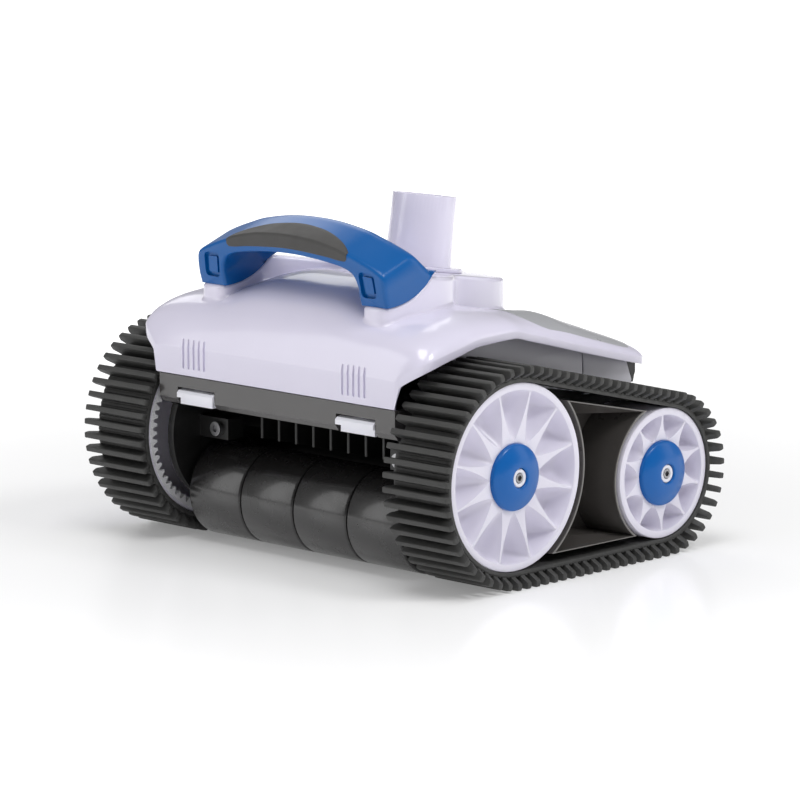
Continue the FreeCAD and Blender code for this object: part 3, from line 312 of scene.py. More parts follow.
def wheel(node, side, count, first):
    """Dished wheel: flat rim, tapering ridges, and a scooped pocket between each pair of ridges."""
    low, high = mm_box(node)
    y, z = (low.y + high.y) / 2, (low.z + high.z) / 2
    radius = (high.z - low.z) / 2
    face = max(abs(low.x), abs(high.x))
    inner = min(abs(low.x), abs(high.x))
    r0, r1 = HUB_R + 0.5, radius - 5.6
    half_columns = [0.12, 0.35, 0.55, 0.72, 0.84, 0.92, 0.97, 1]
    columns = [-u for u in reversed(half_columns)] + half_columns
    rows = [0, 0.025, 0.06, 0.11, 0.18, 0.26, 0.35, 0.44, 0.53, 0.62, 0.7, 0.77, 0.83, 0.88, 0.92, 0.95,
            0.975, 0.99, 1]
    pitch = 2 * math.pi / count
    hub_half = pitch * r0 / 2 * 0.93

    def ring(r, t, depth):
        half = RIDGE_TIP + (hub_half - RIDGE_TIP) * (1 - t) ** 2.3
        open_half = pitch / 2 - half / r
        points = []
        for k in range(count):
            ridge = first + k * pitch
            points.append((face - 1.0 - 1.6 * (1 - t) + 0.12, r, ridge))
            for u in columns:
                a = ridge + pitch / 2 + u * open_half
                x = face - 1.0 - 1.6 * (1 - t) - depth * (1 - abs(u) ** 2.8)
                points.append((x, r, a))
        return [(side * x, y + q * math.cos(a), z + q * math.sin(a)) for x, q, a in points]

    def plain(x, r, t):
        return [(side * x, y + r * math.cos(a), z + r * math.sin(a)) for a in angles(t)]

    def angles(t):
        r = r0 + (r1 - r0) * t
        return [math.atan2(p[2] - z, p[1] - y) for p in ring(r, t, 0.0)]

    rings = [plain(x, r, 0) for x, r in ((face - 3.0, AXLE_R), (face - 3.0, HUB_R - 0.4),
                                         (face - 2.8, HUB_R + 0.1))]
    for t in rows:
        rise = math.sin(math.pi / 2 * min(1.0, t / 0.72)) ** 1.35
        fall = 1.0 if t < 0.78 else 1 - ((t - 0.78) / 0.22) ** 4
        rings.append(ring(r0 + (r1 - r0) * t, t, POCKET_DEPTH * rise * fall))
    rim = [(face - 0.25, r1 + 0.25), (face, r1 + 0.8), (face, radius - 1.1), (face - 0.3, radius - 0.35),
           (face - 1.0, radius), (inner + 0.6, radius), (inner, radius - 0.6), (inner, radius - 2.3),
           (inner + 0.5, radius - 2.8), (face - WEB_BACK, radius - 2.8)]
    hub = [(face - WEB_BACK, 15.0), (inner + 12.3, 13.3), (inner + 12, 13.0), (inner + 12, AXLE_R)]
    rings += [plain(x, r, 1.0) for x, r in rim + hub]
    return loft(rings, loop=True)


def hub_cap(node, side):
    """Domed blue cap with a hole in the middle for the washer."""
    low, high = mm_box(node)
    y, z = (low.y + high.y) / 2, (low.z + high.z) / 2
    back, top = min(abs(low.x), abs(high.x)), max(abs(low.x), abs(high.x))
    edge = back + 2.0
    crown = [(edge + 1.4 + (top - edge - 1.4) * (1 - t ** 2), 8.0 + (HUB_R - 8.5) * t)
             for t in [i / 14 for i in range(15)]]
    profile = [(back, 7.2), (top - 1.2, 7.2), (top - 0.5, 7.3), (top - 0.15, 7.6)] + crown
    profile += [(edge + 0.9, HUB_R - 0.25), (edge + 0.2, HUB_R), (back, HUB_R)]
    return lathe(profile, y, z, side)


def axle_end(y, z, face, side):
    """White washer ring and the socket screw inside it."""
    ring = [(face - 0.6, 3.9), (face + 3.0, 3.9), (face + 3.5, 4.3), (face + 3.7, 5.2), (face + 3.4, 6.4),
            (face + 2.8, 6.8), (face - 0.6, 6.8)]
    washer = lathe(ring, y, z, side, 64)
    count = 48

    def circle(x, r, hexagon=False):
        points = []
        for i in range(count):
            a = 2 * math.pi * i / count
            q = r
            if hexagon:
                q = r * math.cos(math.pi / 6) / math.cos((a % (math.pi / 3)) - math.pi / 6)
            points.append((side * x, y + q * math.cos(a), z + q * math.sin(a)))
        return points

    rings = [circle(face + x, r) for x, r in ((-0.5, 3.7), (3.0, 3.7), (3.5, 3.3), (3.6, 2.6))]
    rings += [circle(face + x, r, hexagon=True) for x, r in ((3.5, 2.2), (1.4, 2.1))]
    return washer, loft(rings, flat=side_view)


for side, hand in SIDES:
    for kind, (ridges, first) in WHEEL_PLAN.items():
        node = kind + "_" + hand
        piece("visual_" + node, wheel(node, side, ridges, first), node, "wheel_white", (node,), 40)
        cap = kind.replace("wheel", "hub_cap") + "_" + hand
        piece("visual_" + cap, hub_cap(cap, side), node, "hub_blue", (cap,), 40)
        low, high = mm_box(node)
        face = max(abs(low.x), abs(high.x))
        washer, screw = axle_end((low.y + high.y) / 2, (low.z + high.z) / 2, face, side)
        piece("washer_" + node, washer, "chassis", "latch_white", ("axle_screws",), 40)
        piece("screw_" + node, screw, "chassis", "steel", ("axle_screws",), 40)


# ---- tracks ------------------------------------------------------------------------------------
front_low, front_high = mm_box("front_wheel_right")
rear_low, rear_high = mm_box("rear_wheel_right")
FRONT_R, REAR_R = (front_high.z - front_low.z) / 2, (rear_high.z - rear_low.z) / 2
FRONT_Y, FRONT_Z = (front_high.y + front_low.y) / 2, (front_high.z + front_low.z) / 2
REAR_Y, REAR_Z = (rear_high.y + rear_low.y) / 2, (rear_high.z + rear_low.z) / 2
belt_low, belt_high = mm_box("track_belt_right")
LUG_IN, LUG_OUT = belt_low.x, belt_high.x
BELT_GAP, CARCASS = 0.3, 3.0       # belt above the rims, and its thickness
LUG_H, LUG_W, LUGS = 9.3, 4.7, 75


def belt_places(offset, count, shift=0.0):
    """Evenly spaced (y, z, outward angle) places round the belt line this far outside the rims."""
    front, rear = FRONT_R + offset, REAR_R + offset
    dy, dz = REAR_Y - FRONT_Y, REAR_Z - FRONT_Z
    along = math.atan2(dz, dy)
    spread = math.acos((front - rear) / math.hypot(dy, dz))
    top, low = along + spread, along - spread
    run = math.sqrt(dy ** 2 + dz ** 2 - (front - rear) ** 2)
    rear_arc, front_arc = rear * (top - low), front * (2 * math.pi - (top - low))
    total = 2 * run + rear_arc + front_arc
    places = []
    for k in range(count):
        s = (total * (k + shift) / count) % total
        if s < run:
            a, t = top, s / run
            y = (FRONT_Y + front * math.cos(a)) * (1 - t) + (REAR_Y + rear * math.cos(a)) * t
            z = (FRONT_Z + front * math.sin(a)) * (1 - t) + (REAR_Z + rear * math.sin(a)) * t
        elif s < run + rear_arc:
            a = top - (s - run) / rear
            y, z = REAR_Y + rear * math.cos(a), REAR_Z + rear * math.sin(a)
        elif s < 2 * run + rear_arc:
            a, t = low, (s - run - rear_arc) / run
            y = (REAR_Y + rear * math.cos(a)) * (1 - t) + (FRONT_Y + front * math.cos(a)) * t
            z = (REAR_Z + rear * math.sin(a)) * (1 - t) + (FRONT_Z + front * math.sin(a)) * t
        else:
            a = low - (s - 2 * run - rear_arc) / front
            y, z = FRONT_Y + front * math.cos(a), FRONT_Z + front * math.sin(a)
        places.append((y, z, a))
    return places


def rounded(points, radii, steps=4):
    """Closed outline whose corners are rounded by the given radii."""
    out = []
    n = len(points)
    for i, (p, r) in enumerate(zip(points, radii)):
        p = Vector(p)
        a, b = Vector(points[i - 1]), Vector(points[(i + 1) % n])
        if r <= 0:
            out.append(tuple(p))
            continue
        u, v = (a - p).normalized(), (b - p).normalized()
        for k in range(steps + 1):
            t = k / steps
            q = (p + u * r) * (1 - t) ** 2 + p * 2 * t * (1 - t) + (p + v * r) * t ** 2
            out.append(tuple(q))
    return out


def bar(profile, place, width, taper, side):
    """One cross bar of the belt: an (x, out) outline carried along the belt by width, with softened edges."""
    y, z, a = place
    out = (math.cos(a), math.sin(a))
    run = (-math.sin(a), math.cos(a))
    rings = []
    for across, inset in ((-0.5, 0.55), (-0.46, 0.2), (-0.36, 0.0), (0.36, 0.0), (0.46, 0.2), (0.5, 0.55)):
        ring = []
        for x, h in inset_outline(profile, inset):
            v = across * width * (1 - taper * max(0.0, h) / LUG_H)
            ring.append((side * x, y + out[0] * h + run[0] * v, z + out[1] * h + run[1] * v))
        rings.append(ring)
    return loft(rings, flat=lambda p: (p[0], (p[1] - y) * out[0] + (p[2] - z) * out[1]))


def merge(shapes):
    """Several shapes as one list of vertices and faces."""
    verts, faces = [], []
    for v, f in shapes:
        base = len(verts)
        verts += v
        faces += [tuple(base + i for i in face) for face in f]
    return verts, faces


def belt(side):
    """Smooth carcass with a tall lug and a low rib in turn."""
    x0, x1 = LUG_IN + 4.0, LUG_OUT - 6.5
    outer = BELT_GAP + CARCASS
    band = rounded([(x0, 0.0), (x1, 0.0), (x1, CARCASS), (x0, CARCASS)], [0.5, 0.5, 0.9, 0.9], 3)
    rings = []
    for y, z, a in belt_places(BELT_GAP, 300):
        rings.append([(side * x, y + math.cos(a) * h, z + math.sin(a) * h) for x, h in band])
    shapes = [loft(rings, loop=True)]
    points = [(x0 + 0.5, -1.0), (x1 - 0.5, -1.0), (x1 - 0.5, 0.4), (LUG_OUT, 4.3), (LUG_OUT, LUG_H),
              (LUG_IN, LUG_H), (LUG_IN, 4.3), (x0 + 0.5, 0.4)]
    profile = rounded(points, [0, 0, 0.8, 1.4, 1.9, 1.9, 1.4, 0.8], 4)
    for place in belt_places(outer, LUGS):
        shapes.append(bar(profile, place, LUG_W, 0.14, side))
    rib = rounded([(x0 + 1.0, -0.6), (x1 - 0.8, -0.6), (x1 - 0.8, 0.9), (x0 + 1.0, 0.9)], [0, 0, 0.6, 0.6], 3)
    for place in belt_places(outer, LUGS, 0.5):
        shapes.append(bar(rib, place, 2.4, 0.0, side))
    return merge(shapes)


for side, hand in SIDES:
    node = "track_belt_" + hand
    piece("visual_" + node, belt(side), "chassis", "track_rubber", (node,), 38)


# ---- side frames -------------------------------------------------------------------------------
def frame_outline(front, rear, front_span, rear_span, steps=26):
    """(y, z) outline: an arc round each wheel, joined by a straight top and bottom."""
    points = []
    arcs = ((FRONT_Y, FRONT_Z, front, front_span), (REAR_Y, REAR_Z, rear, rear_span))
    for cy, cz, r, (a0, a1) in arcs:
        for i in range(steps + 1):
            a = math.radians(a0 + (a1 - a0) * i / steps)
            points.append((cy + r * math.cos(a), cz + r * math.sin(a)))
    return points


def side_frame(node, side):
    """Hourglass frame between the wheels: a funnel-shaped pocket outside and a hollow inside."""
    low, high = mm_box(node)
    back, face = min(abs(low.x), abs(high.x)), max(abs(low.x), abs(high.x))
    outer = frame_outline(73.0, 51.2, (41.5, -57.5), (237.5, 109))
    mouth = frame_outline(75.2, 53.2, (38.2, -53.8), (232.6, 115))
    waist = frame_outline(77.6, 54.4, (27, -43), (229.5, 118))
    deep = frame_outline(79.0, 56.5, (25, -41), (226, 122))
    hollow = frame_outline(84.0, 62.0, (20, -36), (214, 134))
    edge = frame_outline(73.3, 51.4, (41.1, -57), (237, 109.5))
    stations = [(back, outer), (face - 1.0, outer), (face - 0.25, edge),
                (face, frame_outline(73.8, 51.9, (40.5, -56.3), (236, 110.5))),
                (face, frame_outline(74.6, 52.6, (39.2, -54.8), (234, 113))),
                (face - 0.3, frame_outline(75.0, 53.0, (38.6, -54.2), (233, 114.5))),
                (face - 1.2, mouth), (face - 11.5, waist),
                (face - 12.3, frame_outline(77.9, 54.8, (26.6, -42.6), (229, 118.5))),
                (140.0, deep)]
    rings = [[(side * x, y, z) for y, z in line] for x, line in stations]
    outside = loft(rings, caps=(False, True), flat=side_view)
    stations = ((back, outer), (back, hollow), (137.0, hollow))
    rings = [[(side * x, y, z) for y, z in line] for x, line in stations]
    inside = loft(rings, caps=(False, True), flat=side_view)
    return merge([outside, inside])


for side, hand in SIDES:
    node = "side_frame_" + hand
    piece("visual_" + node, side_frame(node, side), "chassis", "chassis_dark", (node,), 25, FRAME_GREY)


def frame_lip(node, side):
    """Thin raised line along the frame's front edge."""
    low, high = mm_box(node)
    face = max(abs(low.x), abs(high.x))
    inner = frame_outline(74.7, 52.7, (39.1, -54.7), (233.9, 113.1))
    outer = frame_outline(73.5, 51.5, (41, -56.9), (236.9, 109.7))
    stations = ((face - 0.3, outer), (face + 0.3, outer), (face + 0.3, inner), (face - 0.3, inner))
    return loft([[(side * x, y, z) for y, z in line] for x, line in stations], loop=True)


for side, hand in SIDES:
    node = "side_frame_" + hand
    # The raised line is real, but its lighter grey is a painted highlight along the frame's front edge.
    piece("frame_lip_" + hand, frame_lip(node, side), "chassis", "chassis_dark", (node,), 25, LIP_PAINTED_HIGHLIGHT)


# ---- roller ------------------------------------------------------------------------------------
roll_low, roll_high = mm_box("roller_sleeves")
ROLLER_Y, ROLLER_Z = (roll_low.y + roll_high.y) / 2, (roll_low.z + roll_high.z) / 2
ROLLER_R = (roll_high.z - roll_low.z) / 2
SLEEVES, SLEEVE_GAP = 4, 0.8
SLEEVE_END = ((0.4, 5), (0.4, 1.6), (0.75, 0.7), (1.3, 0.2), (2.1, 0))      # (along, below the surface)
sleeves = []
sleeve_pitch = (roll_high.x - roll_low.x + SLEEVE_GAP) / SLEEVES
for k in range(SLEEVES):
    x0 = roll_low.x - SLEEVE_GAP / 2 + sleeve_pitch * k
    x1 = x0 + sleeve_pitch
    half = [(x0 + along, ROLLER_R - below) for along, below in SLEEVE_END]
    profile = half + [(x0 + sleeve_pitch / 2, ROLLER_R)] + [(x0 + x1 - x, r) for x, r in reversed(half)]
    sleeves.append(lathe(profile, ROLLER_Y, ROLLER_Z, 1, 144))
piece("visual_roller_sleeves", merge(sleeves), "roller", "roller_black", ("roller_sleeves",), 40)


# ---- cover -------------------------------------------------------------------------------------
# Each table row is (y, value): the lip's lower edge, the half-width at the lip, the height of the shoulder,
# how far the middle rises above the shoulder between the handle's legs, the depth of the hollow round the
# boss, how square the section is, and the height of the plain band above the lip.
LIP = [(-136, 143), (-134, 148.5), (-131, 153.4), (-127, 156.7), (-118, 160), (-95, 165.7), (-69, 170.7),
       (-34, 171.5), (-14, 167), (44, 151.9), (103, 137.3), (122, 133.1), (131, 131.1), (137, 129.8)]
HALF_WIDTH = [(-136, 123), (-134, 130), (-131, 138), (-127, 143), (-118, 145.5), (-95, 146), (-69, 145.5),
              (-34, 144), (-14, 142.5), (44, 139), (103, 133.5), (122, 129.5), (131, 123), (137, 111)]
SHOULDER = [(-136, 152), (-135.3, 157), (-133.6, 164), (-130.5, 171.5), (-126, 178), (-119, 183.5),
            (-108, 188), (-92, 190.5), (-60, 192), (-20, 190), (28, 185), (60, 174), (90, 163.5),
            (118, 153.5), (131, 148), (137, 140.5)]
DOME = [(-136, 0), (-128, 2), (-115, 8), (-95, 14), (-70, 17), (-46, 17), (-10, 12), (30, 3), (60, 0)]
HOLLOW = [(-60, 0), (-42, 2), (-24, 8), (-8, 12), (12, 11), (28, 8), (60, 2), (80, 0)]
ROUNDNESS = [(-136, 6.0), (-60, 5.0), (0, 3.5), (137, 3.2)]
BAND = [(-136, 8.0), (-111, 6.8), (-69, 6.2), (137, 6.0)]
FRONT_FACE, REAR_FACE, SKIRT_Z, SKIN = -136.0, 137.0, 130.3, 3.0
VENT_X, VENT_PITCH, VENT_HALF, VENT_LOW, VENT_TOP = 82.4, 5.5, 1.15, 136.7, 156.8
FLARE = 0.985          # the section stops just short of vertical at the lip
DOME_HALF = 66.0
TILT = math.radians(8.5)
AXIS = Vector((0, math.sin(TILT), math.cos(TILT)))
BOSS_TOP = Vector((0, 16.4, 203.0))
BOSS_R = 65.0


def cover_height(x, y):
    """Height of the cover's upper surface."""
    half = smooth(HALF_WIDTH, y)
    edge = smooth(LIP, y) + smooth(BAND, y)
    n = smooth(ROUNDNESS, y)
    u = FLARE * min(1.0, abs(x) / half)
    side = (1 - FLARE ** n) ** (1 / n)
    crown = ((1 - u ** n) ** (1 / n) - side) / (1 - side)
    dome = smooth(DOME, y) * math.exp(-(abs(x) / DOME_HALF) ** 4)
    reach = math.hypot(x, y - BOSS_TOP.y) - BOSS_R
    hollow = smooth(HOLLOW, y) * math.exp(-(max(0.0, reach - 3) / 22.0) ** 2)
    return edge + (smooth(SHOULDER, y) - edge) * crown + dome - hollow


def cover_skin():
    """Closed shell of the moulded cover, with a rounded lip all round."""
    columns, rows = 96, 110
    spread = [math.sin(math.pi / 2 * (2 * i / columns - 1)) * 0.55 + (2 * i / columns - 1) * 0.45
              for i in range(columns + 1)]
    ys = []
    for j in range(rows + 1):
        t = j / rows
        t = 0.6 * (0.5 - 0.5 * math.cos(math.pi * t)) + 0.4 * t
        ys.append(FRONT_FACE + (REAR_FACE - FRONT_FACE) * t)
    top = {}
    under = {}
    for j, y in enumerate(ys):
        half = smooth(HALF_WIDTH, y)
        y_in = max(FRONT_FACE + SKIN, min(REAR_FACE - SKIN, y))
        for i, f in enumerate(spread):
            top[i, j] = (f * half, y, cover_height(f * half, y))
            half_in = smooth(HALF_WIDTH, y_in) - SKIN
            under[i, j] = (f * half_in, y_in, cover_height(f * (half_in + SKIN), y_in) - SKIN)
    edge = [(i, 0) for i in range(columns)] + [(columns, j) for j in range(rows)]
    edge += [(i, rows) for i in range(columns, 0, -1)] + [(0, j) for j in range(rows, 0, -1)]

    def lower(i, j):
        return SKIRT_Z if j == 0 else smooth(LIP, ys[j])

    def ring(inward, above_lip, from_top):
        """Ring of points this far inside the outer edge; above_lip is measured from the lower edge."""
        points = []
        for i, j in edge:
            x, y, z = top[i, j]
            sx = -1 if i == 0 else 1 if i == columns else 0
            sy = -1 if j == 0 else 1 if j == rows else 0
            height = z - from_top if above_lip is None else lower(i, j) + above_lip
            points.append((x - sx * inward, y - sy * inward, height))
        return points

    verts, faces, index = [], [], {}
    for key, grid in (("top", top), ("under", under)):
        for place, point in grid.items():
            index[key, place] = len(verts)
            verts.append(point)
        for i in range(columns):
            for j in range(rows):
                faces.append(tuple(index[key, p] for p in ((i, j), (i + 1, j), (i + 1, j + 1), (i, j + 1))))
    rings = [[index["top", p] for p in edge]]
    for inward, above, below in ((-0.15, None, 0.5), (0.0, None, 1.4), (0.0, 1.2, 0), (0.35, 0.35, 0),
                                 (1.0, 0.0, 0), (2.0, 0.0, 0), (2.65, 0.35, 0), (3.0, 1.2, 0)):
        base = len(verts)
        verts += ring(inward, above, below)
        rings.append(list(range(base, base + len(edge))))
    rings.append([index["under", p] for p in edge])
    for a, b in zip(rings, rings[1:]):
        for i in range(len(edge)):
            k = (i + 1) % len(edge)
            faces.append((a[i], a[k], b[k], b[i]))
    return verts, faces


def prism_z(points, z0, z1):
    rings = [[(x, y, z) for x, y in points] for z in (z0, z1)]
    return loft(rings)


def deck_plan():
    """Plan of the opening under the deck panel; its front edge runs round the boss."""
    half, front, rear = 79.0, 33.0, 122.0
    reach = BOSS_R + 4.0
    start = math.asin((front - BOSS_TOP.y) / reach)
    points = []
    for i in range(41):
        a = start + (math.pi - 2 * start) * i / 40
        points.append((reach * math.cos(a), BOSS_TOP.y + reach * math.sin(a)))
    right = [(half, front), (half, 60), (half - 7, rear)]
    return points[::-1] + right + [(-x, y) for x, y in reversed(right)]


def axis_ring(along, radius, count):
    """Ring about the leaning swivel axis, this far above the boss top."""
    across = Vector((1, 0, 0))
    over = AXIS.cross(across)
    centre = BOSS_TOP + AXIS * along
    return [tuple(centre + across * radius * math.cos(2 * math.pi * i / count)
                  + over * radius * math.sin(2 * math.pi * i / count)) for i in range(count)]


def axis_rod(radius, low, high):
    """Cylinder about the leaning swivel axis, from low to high above the boss top."""
    return loft([axis_ring(along, radius, 96) for along in (low, high)])


def axis_lathe(profile):
    """Closed (height, radius) outline turned about the leaning swivel axis."""
    return loft([axis_ring(along, r, 128) for along, r in profile], loop=True)


def vent_slot(x):
    """Slot with round ends, cut a little way into the front face."""
    points = []
    for start, centre in ((0, VENT_TOP), (math.pi, VENT_LOW)):
        for i in range(17):
            a = start + math.pi * i / 16
            points.append((x + VENT_HALF * math.cos(a), centre + VENT_HALF * math.sin(a)))
    rings = [[(px, y, pz) for px, pz in points] for y in (FRONT_FACE - 3, FRONT_FACE + 1.5)]
    return loft(rings, flat=front_view)


def tool(name, shape):
    """A scratch mesh for cut_with."""
    return make("tool_" + name, shape, SURFACES["shell_lilac_white"])


cover = piece("visual_top_cover", cover_skin(), "cover", "shell_lilac_white", ("top_cover",))
tools = [tool("boss", axis_rod(BOSS_R - SKIN, -84, -4)), tool("deck", prism_z(deck_plan(), 120, 215))]
slots = [tool("slot_%d" % n, vent_slot(side * VENT_X + (k - 2) * VENT_PITCH))
         for n, (side, k) in enumerate((s, k) for s in (-1, 1) for k in range(5))]
cut_with(cover, tools + slots)


def leg_seat(y):
    """Height of the curved seat under the handle's legs."""
    table = [(-116, 197.5), (-104, 198.6), (-89.2, 202.4), (-76, 209.6), (-66, 219.5)]
    return smooth(table, y)


def boss_plan():
    """Plan of the boss with its two swept fins, counter-clockwise from the rear."""
    half = []
    outer = [(60.6, -7.0), (65, -12), (72, -18.5), (84, -34), (91.5, -50), (95.2, -66), (96, -84), (96, -100),
             (96, -113), (94.4, -116), (90, -116.6), (76, -116.6), (71.6, -116), (70, -113), (70, -96),
             (70, -82), (67.5, -70), (60.5, -59), (50, -50), (39, -44.5), (29, -42.5)]
    for i in range(40):
        a = math.radians(90 - 108 * i / 39)
        half.append((BOSS_R * math.cos(a), BOSS_TOP.y + BOSS_R * math.sin(a)))
    half += catmull(outer, 8)
    for i in range(1, 14):
        a = math.radians(-65 - 25 * i / 13)
        half.append((BOSS_R * math.cos(a), BOSS_TOP.y + BOSS_R * math.sin(a)))
    half = [p for p in half if p[0] > 0.01]
    left = [(-x, y) for x, y in half]
    ring = [(0.0, BOSS_TOP.y + BOSS_R)] + left + [(0.0, BOSS_TOP.y - BOSS_R)] + half[::-1]
    return even(ring, 420)


def even(points, count):
    """Evenly spaced points round a closed outline."""
    n = len(points)
    lengths = [0.0]
    for i in range(n):
        a, b = points[i], points[(i + 1) % n]
        lengths.append(lengths[-1] + math.hypot(b[0] - a[0], b[1] - a[1]))
    out = []
    k = 0
    for j in range(count):
        s = lengths[-1] * j / count
        while lengths[k + 1] < s:
            k += 1
        t = (s - lengths[k]) / max(1e-9, lengths[k + 1] - lengths[k])
        a, b = points[k % n], points[(k + 1) % n]
        out.append((a[0] * (1 - t) + b[0] * t, a[1] * (1 - t) + b[1] * t))
    return out


def relax(points, rounds):
    """Round off a closed outline by averaging each point with its neighbours."""
    for _ in range(rounds):
        n = len(points)
        points = [((points[i - 1][0] + 2 * p[0] + points[(i + 1) % n][0]) / 4,
                   (points[i - 1][1] + 2 * p[1] + points[(i + 1) % n][1]) / 4) for i, p in enumerate(points)]
    return points


def boss_top(x, y):
    """Height of the leaning boss top, lowered to the handle's seat on the fins."""
    plane = BOSS_TOP.z - math.tan(TILT) * (y - BOSS_TOP.y)
    if abs(x) > 50 and y < -60:
        return min(plane, leg_seat(y))
    return plane


def boss_shape():
    """The boss with its fins, from inside the cover up through a small fillet to its rounded top edge."""
    plan = relax(boss_plan(), 12)
    fillet, edge = 2.8, 3.0

    def on_cover(line, rise):
        return [(x, y, cover_height(x, y) + rise) for x, y in line]

    rings = [on_cover(inset_outline(plan, -fillet - 0.4), -6.0)]
    for grow, sunk in ((fillet + 0.4, 2.2), (fillet, 0.3)):
        rings.append(on_cover(inset_outline(plan, -grow), -sunk))
    for k in range(1, 8):
        a = math.pi / 2 * k / 7
        line = inset_outline(plan, -fillet * (1 - math.sin(a)))
        rings.append(on_cover(line, fillet * (1 - math.cos(a)) - 0.3))
    for k in range(7):
        a = math.pi / 2 * k / 6
        line = inset_outline(plan, edge * (1 - math.cos(a)))
        drop, least = edge * (1 - math.sin(a)), 4.0 if k else 5.0
        rings.append([(x, y, max(boss_top(x, y) - drop, cover_height(x, y) + least)) for x, y in line])
    return loft(rings)


boss = piece("visual_boss", boss_shape(), "cover", "shell_lilac_white", ("swivel_boss",), 40)
tools = [tool("inside", axis_rod(BOSS_R - SKIN - 2, -90, -3.5)), tool("bore", axis_rod(29.6, -20, 30))]
cut_with(boss, tools, 40)


# The white ring under the spigot's collar, and the eyes that turn on the hinge pin.
SEAT_PROFILE = [(-14.5, 20.0), (-9.0, 20.0), (-9.0, 29.6), (-3.0, 29.6), (-3.0, 36.5), (-6.0, 36.5),
                (-6.4, 34.0), (-14.0, 34.0), (-14.5, 33.5)]
piece("swivel_seat", axis_lathe(SEAT_PROFILE), "cover", "shell_lilac_white", (), 40)
EYE_OUTLINE = [(119.0, 116.5), (129.0, 116.5), (129.0, 144.0), (119.0, 146.0)]
EYE_R, EYE_X = 4.6, (77, 88)
for side, hand in SIDES:
    line = rounded(EYE_OUTLINE, [EYE_R, EYE_R, 0, 0], 8)
    eye = loft([[(side * x, y, z) for y, z in line] for x in EYE_X], flat=side_view)
    piece("hinge_eye_" + hand, eye, "cover", "shell_lilac_white")


# ---- deck panel ----------------------------------------------------------------------------------
def deck_shape():
    """Thin closed sheet over the sloping deck, as wide as the fenders' shoulders, with round corners."""
    front, rear, corner, rim = -6.0, 124.0, 20.0, 4.5
    proud, thick, narrower = 0.45, 1.2, 0.998
    columns, rows = 72, 64
    top, under = [], []
    for j in range(rows + 1):
        t = 0.5 - 0.5 * math.cos(math.pi * j / rows)
        y = front + (rear - front) * t
        near_end = max(0.0, 1 - min(y - front, rear - y) / corner)
        wide = smooth(HALF_WIDTH, y) - rim - corner * (1 - math.sqrt(max(0.0, 1 - near_end ** 2)))
        row_top, row_under = [], []
        for i in range(columns + 1):
            f = 2 * i / columns - 1
            x = wide * (0.6 * f + 0.4 * math.sin(math.pi / 2 * f))
            border = min(i, columns - i, j, rows - j)
            rise = proud if border > 1 else (-0.1, 0.3)[border]
            row_top.append((x, y, cover_height(x, y) + rise))
            row_under.append((x * narrower, y, cover_height(x * narrower, y) - thick))
        top.append(row_top)
        under.append(row_under)
    rings = [a + b[::-1] for a, b in zip(top, under)]
    return loft(rings, flat=front_view)


deck = piece("visual_deck", deck_shape(), "cover", "deck_grey", ("deck_panel",))
cut_with(deck, [tool("ring", axis_rod(BOSS_R + 2.6, -84, 20))])


# ---- handle and grip -----------------------------------------------------------------------------
# The arch is an (x, z) outline on a leaning front plane, given by its right half, and carried up and back
# along RISE and then down along FALL.
LEAN, FOOT_Y, FOOT_Z = 0.16, -116.0, 197.5
TOP_SHARE, BEND = 0.6, 0.22        # share of the way that is the top, and of the bend after it
EDGE = 0.052                       # share of the way taken by the rounding of the front edge
ARCH_TOP = [(96, 213), (94.6, 220), (90, 223.8), (78, 228.6), (64, 233.2), (50, 237.2), (25, 241.2),
            (0, 242.4)]
ARCH_LOW = [(69, 205), (69, 210), (66, 217.5), (60, 221.6), (48, 224.4), (22, 227.2), (0, 228)]
RISE, FALL = Vector((0, 33, 12)), Vector((0, 19, -15.4))


def both_sides(half):
    """Mirror the right half of an outline that ends on the middle line."""
    return half + [(-x, z) for x, z in reversed(half[:-1])]


def arch_outline():
    """(x, z) outline of the arch's front face, counter-clockwise."""
    top = catmull(both_sides([(96, 205)] + ARCH_TOP), 6)
    low = catmull(both_sides(ARCH_LOW), 6)
    foot = [(69, 190), (72, 186), (93, 186)]
    return [(96, 190)] + top + [(-96, 190)] + [(-x, z) for x, z in reversed(foot)] + low[::-1] + foot


def arch_at(x, z, offset=Vector((0, 0, 0))):
    """Place on the arch's front plane, moved by offset."""
    return (x, FOOT_Y - LEAN * (z - FOOT_Z) + offset.y, z + offset.z)


def handle_path(t):
    """Offset of the section from the front face: up and back along the top, then down to the rear edge."""
    low, high = TOP_SHARE - BEND / 2, TOP_SHARE + BEND / 2
    if t < low:
        return RISE * (t / TOP_SHARE)
    if t > high:
        return RISE + FALL * ((t - TOP_SHARE) / (1 - TOP_SHARE))
    a = RISE * (low / TOP_SHARE)
    c = RISE + FALL * (BEND / 2 / (1 - TOP_SHARE))
    s = (t - low) / BEND
    return a * (1 - s) ** 2 + RISE * 2 * s * (1 - s) + c * s ** 2


def handle_shape():
    """The arch, with rounded front and rear edges and its legs cut to the seat on the fins."""
    outline = arch_outline()
    stations = [(0.0, 2.6), (0.004, 1.5), (0.014, 0.7), (0.03, 0.2), (EDGE, 0.0)]
    stations += [(EDGE + (1 - 2 * EDGE) * k / 30, 0.0) for k in range(1, 31)]
    stations += [(0.97, 0.2), (0.986, 0.7), (0.996, 1.5), (1.0, 2.6)]
    rings = []
    for t, inset in stations:
        offset = handle_path(t)
        ring = []
        for x, z in inset_outline(outline, inset):
            px, py, pz = arch_at(x, z, offset)
            floor = leg_seat(py) + 0.02
            ring.append((px, py, max(pz, floor)))
        rings.append(ring)
    return loft(rings, flat=front_view)


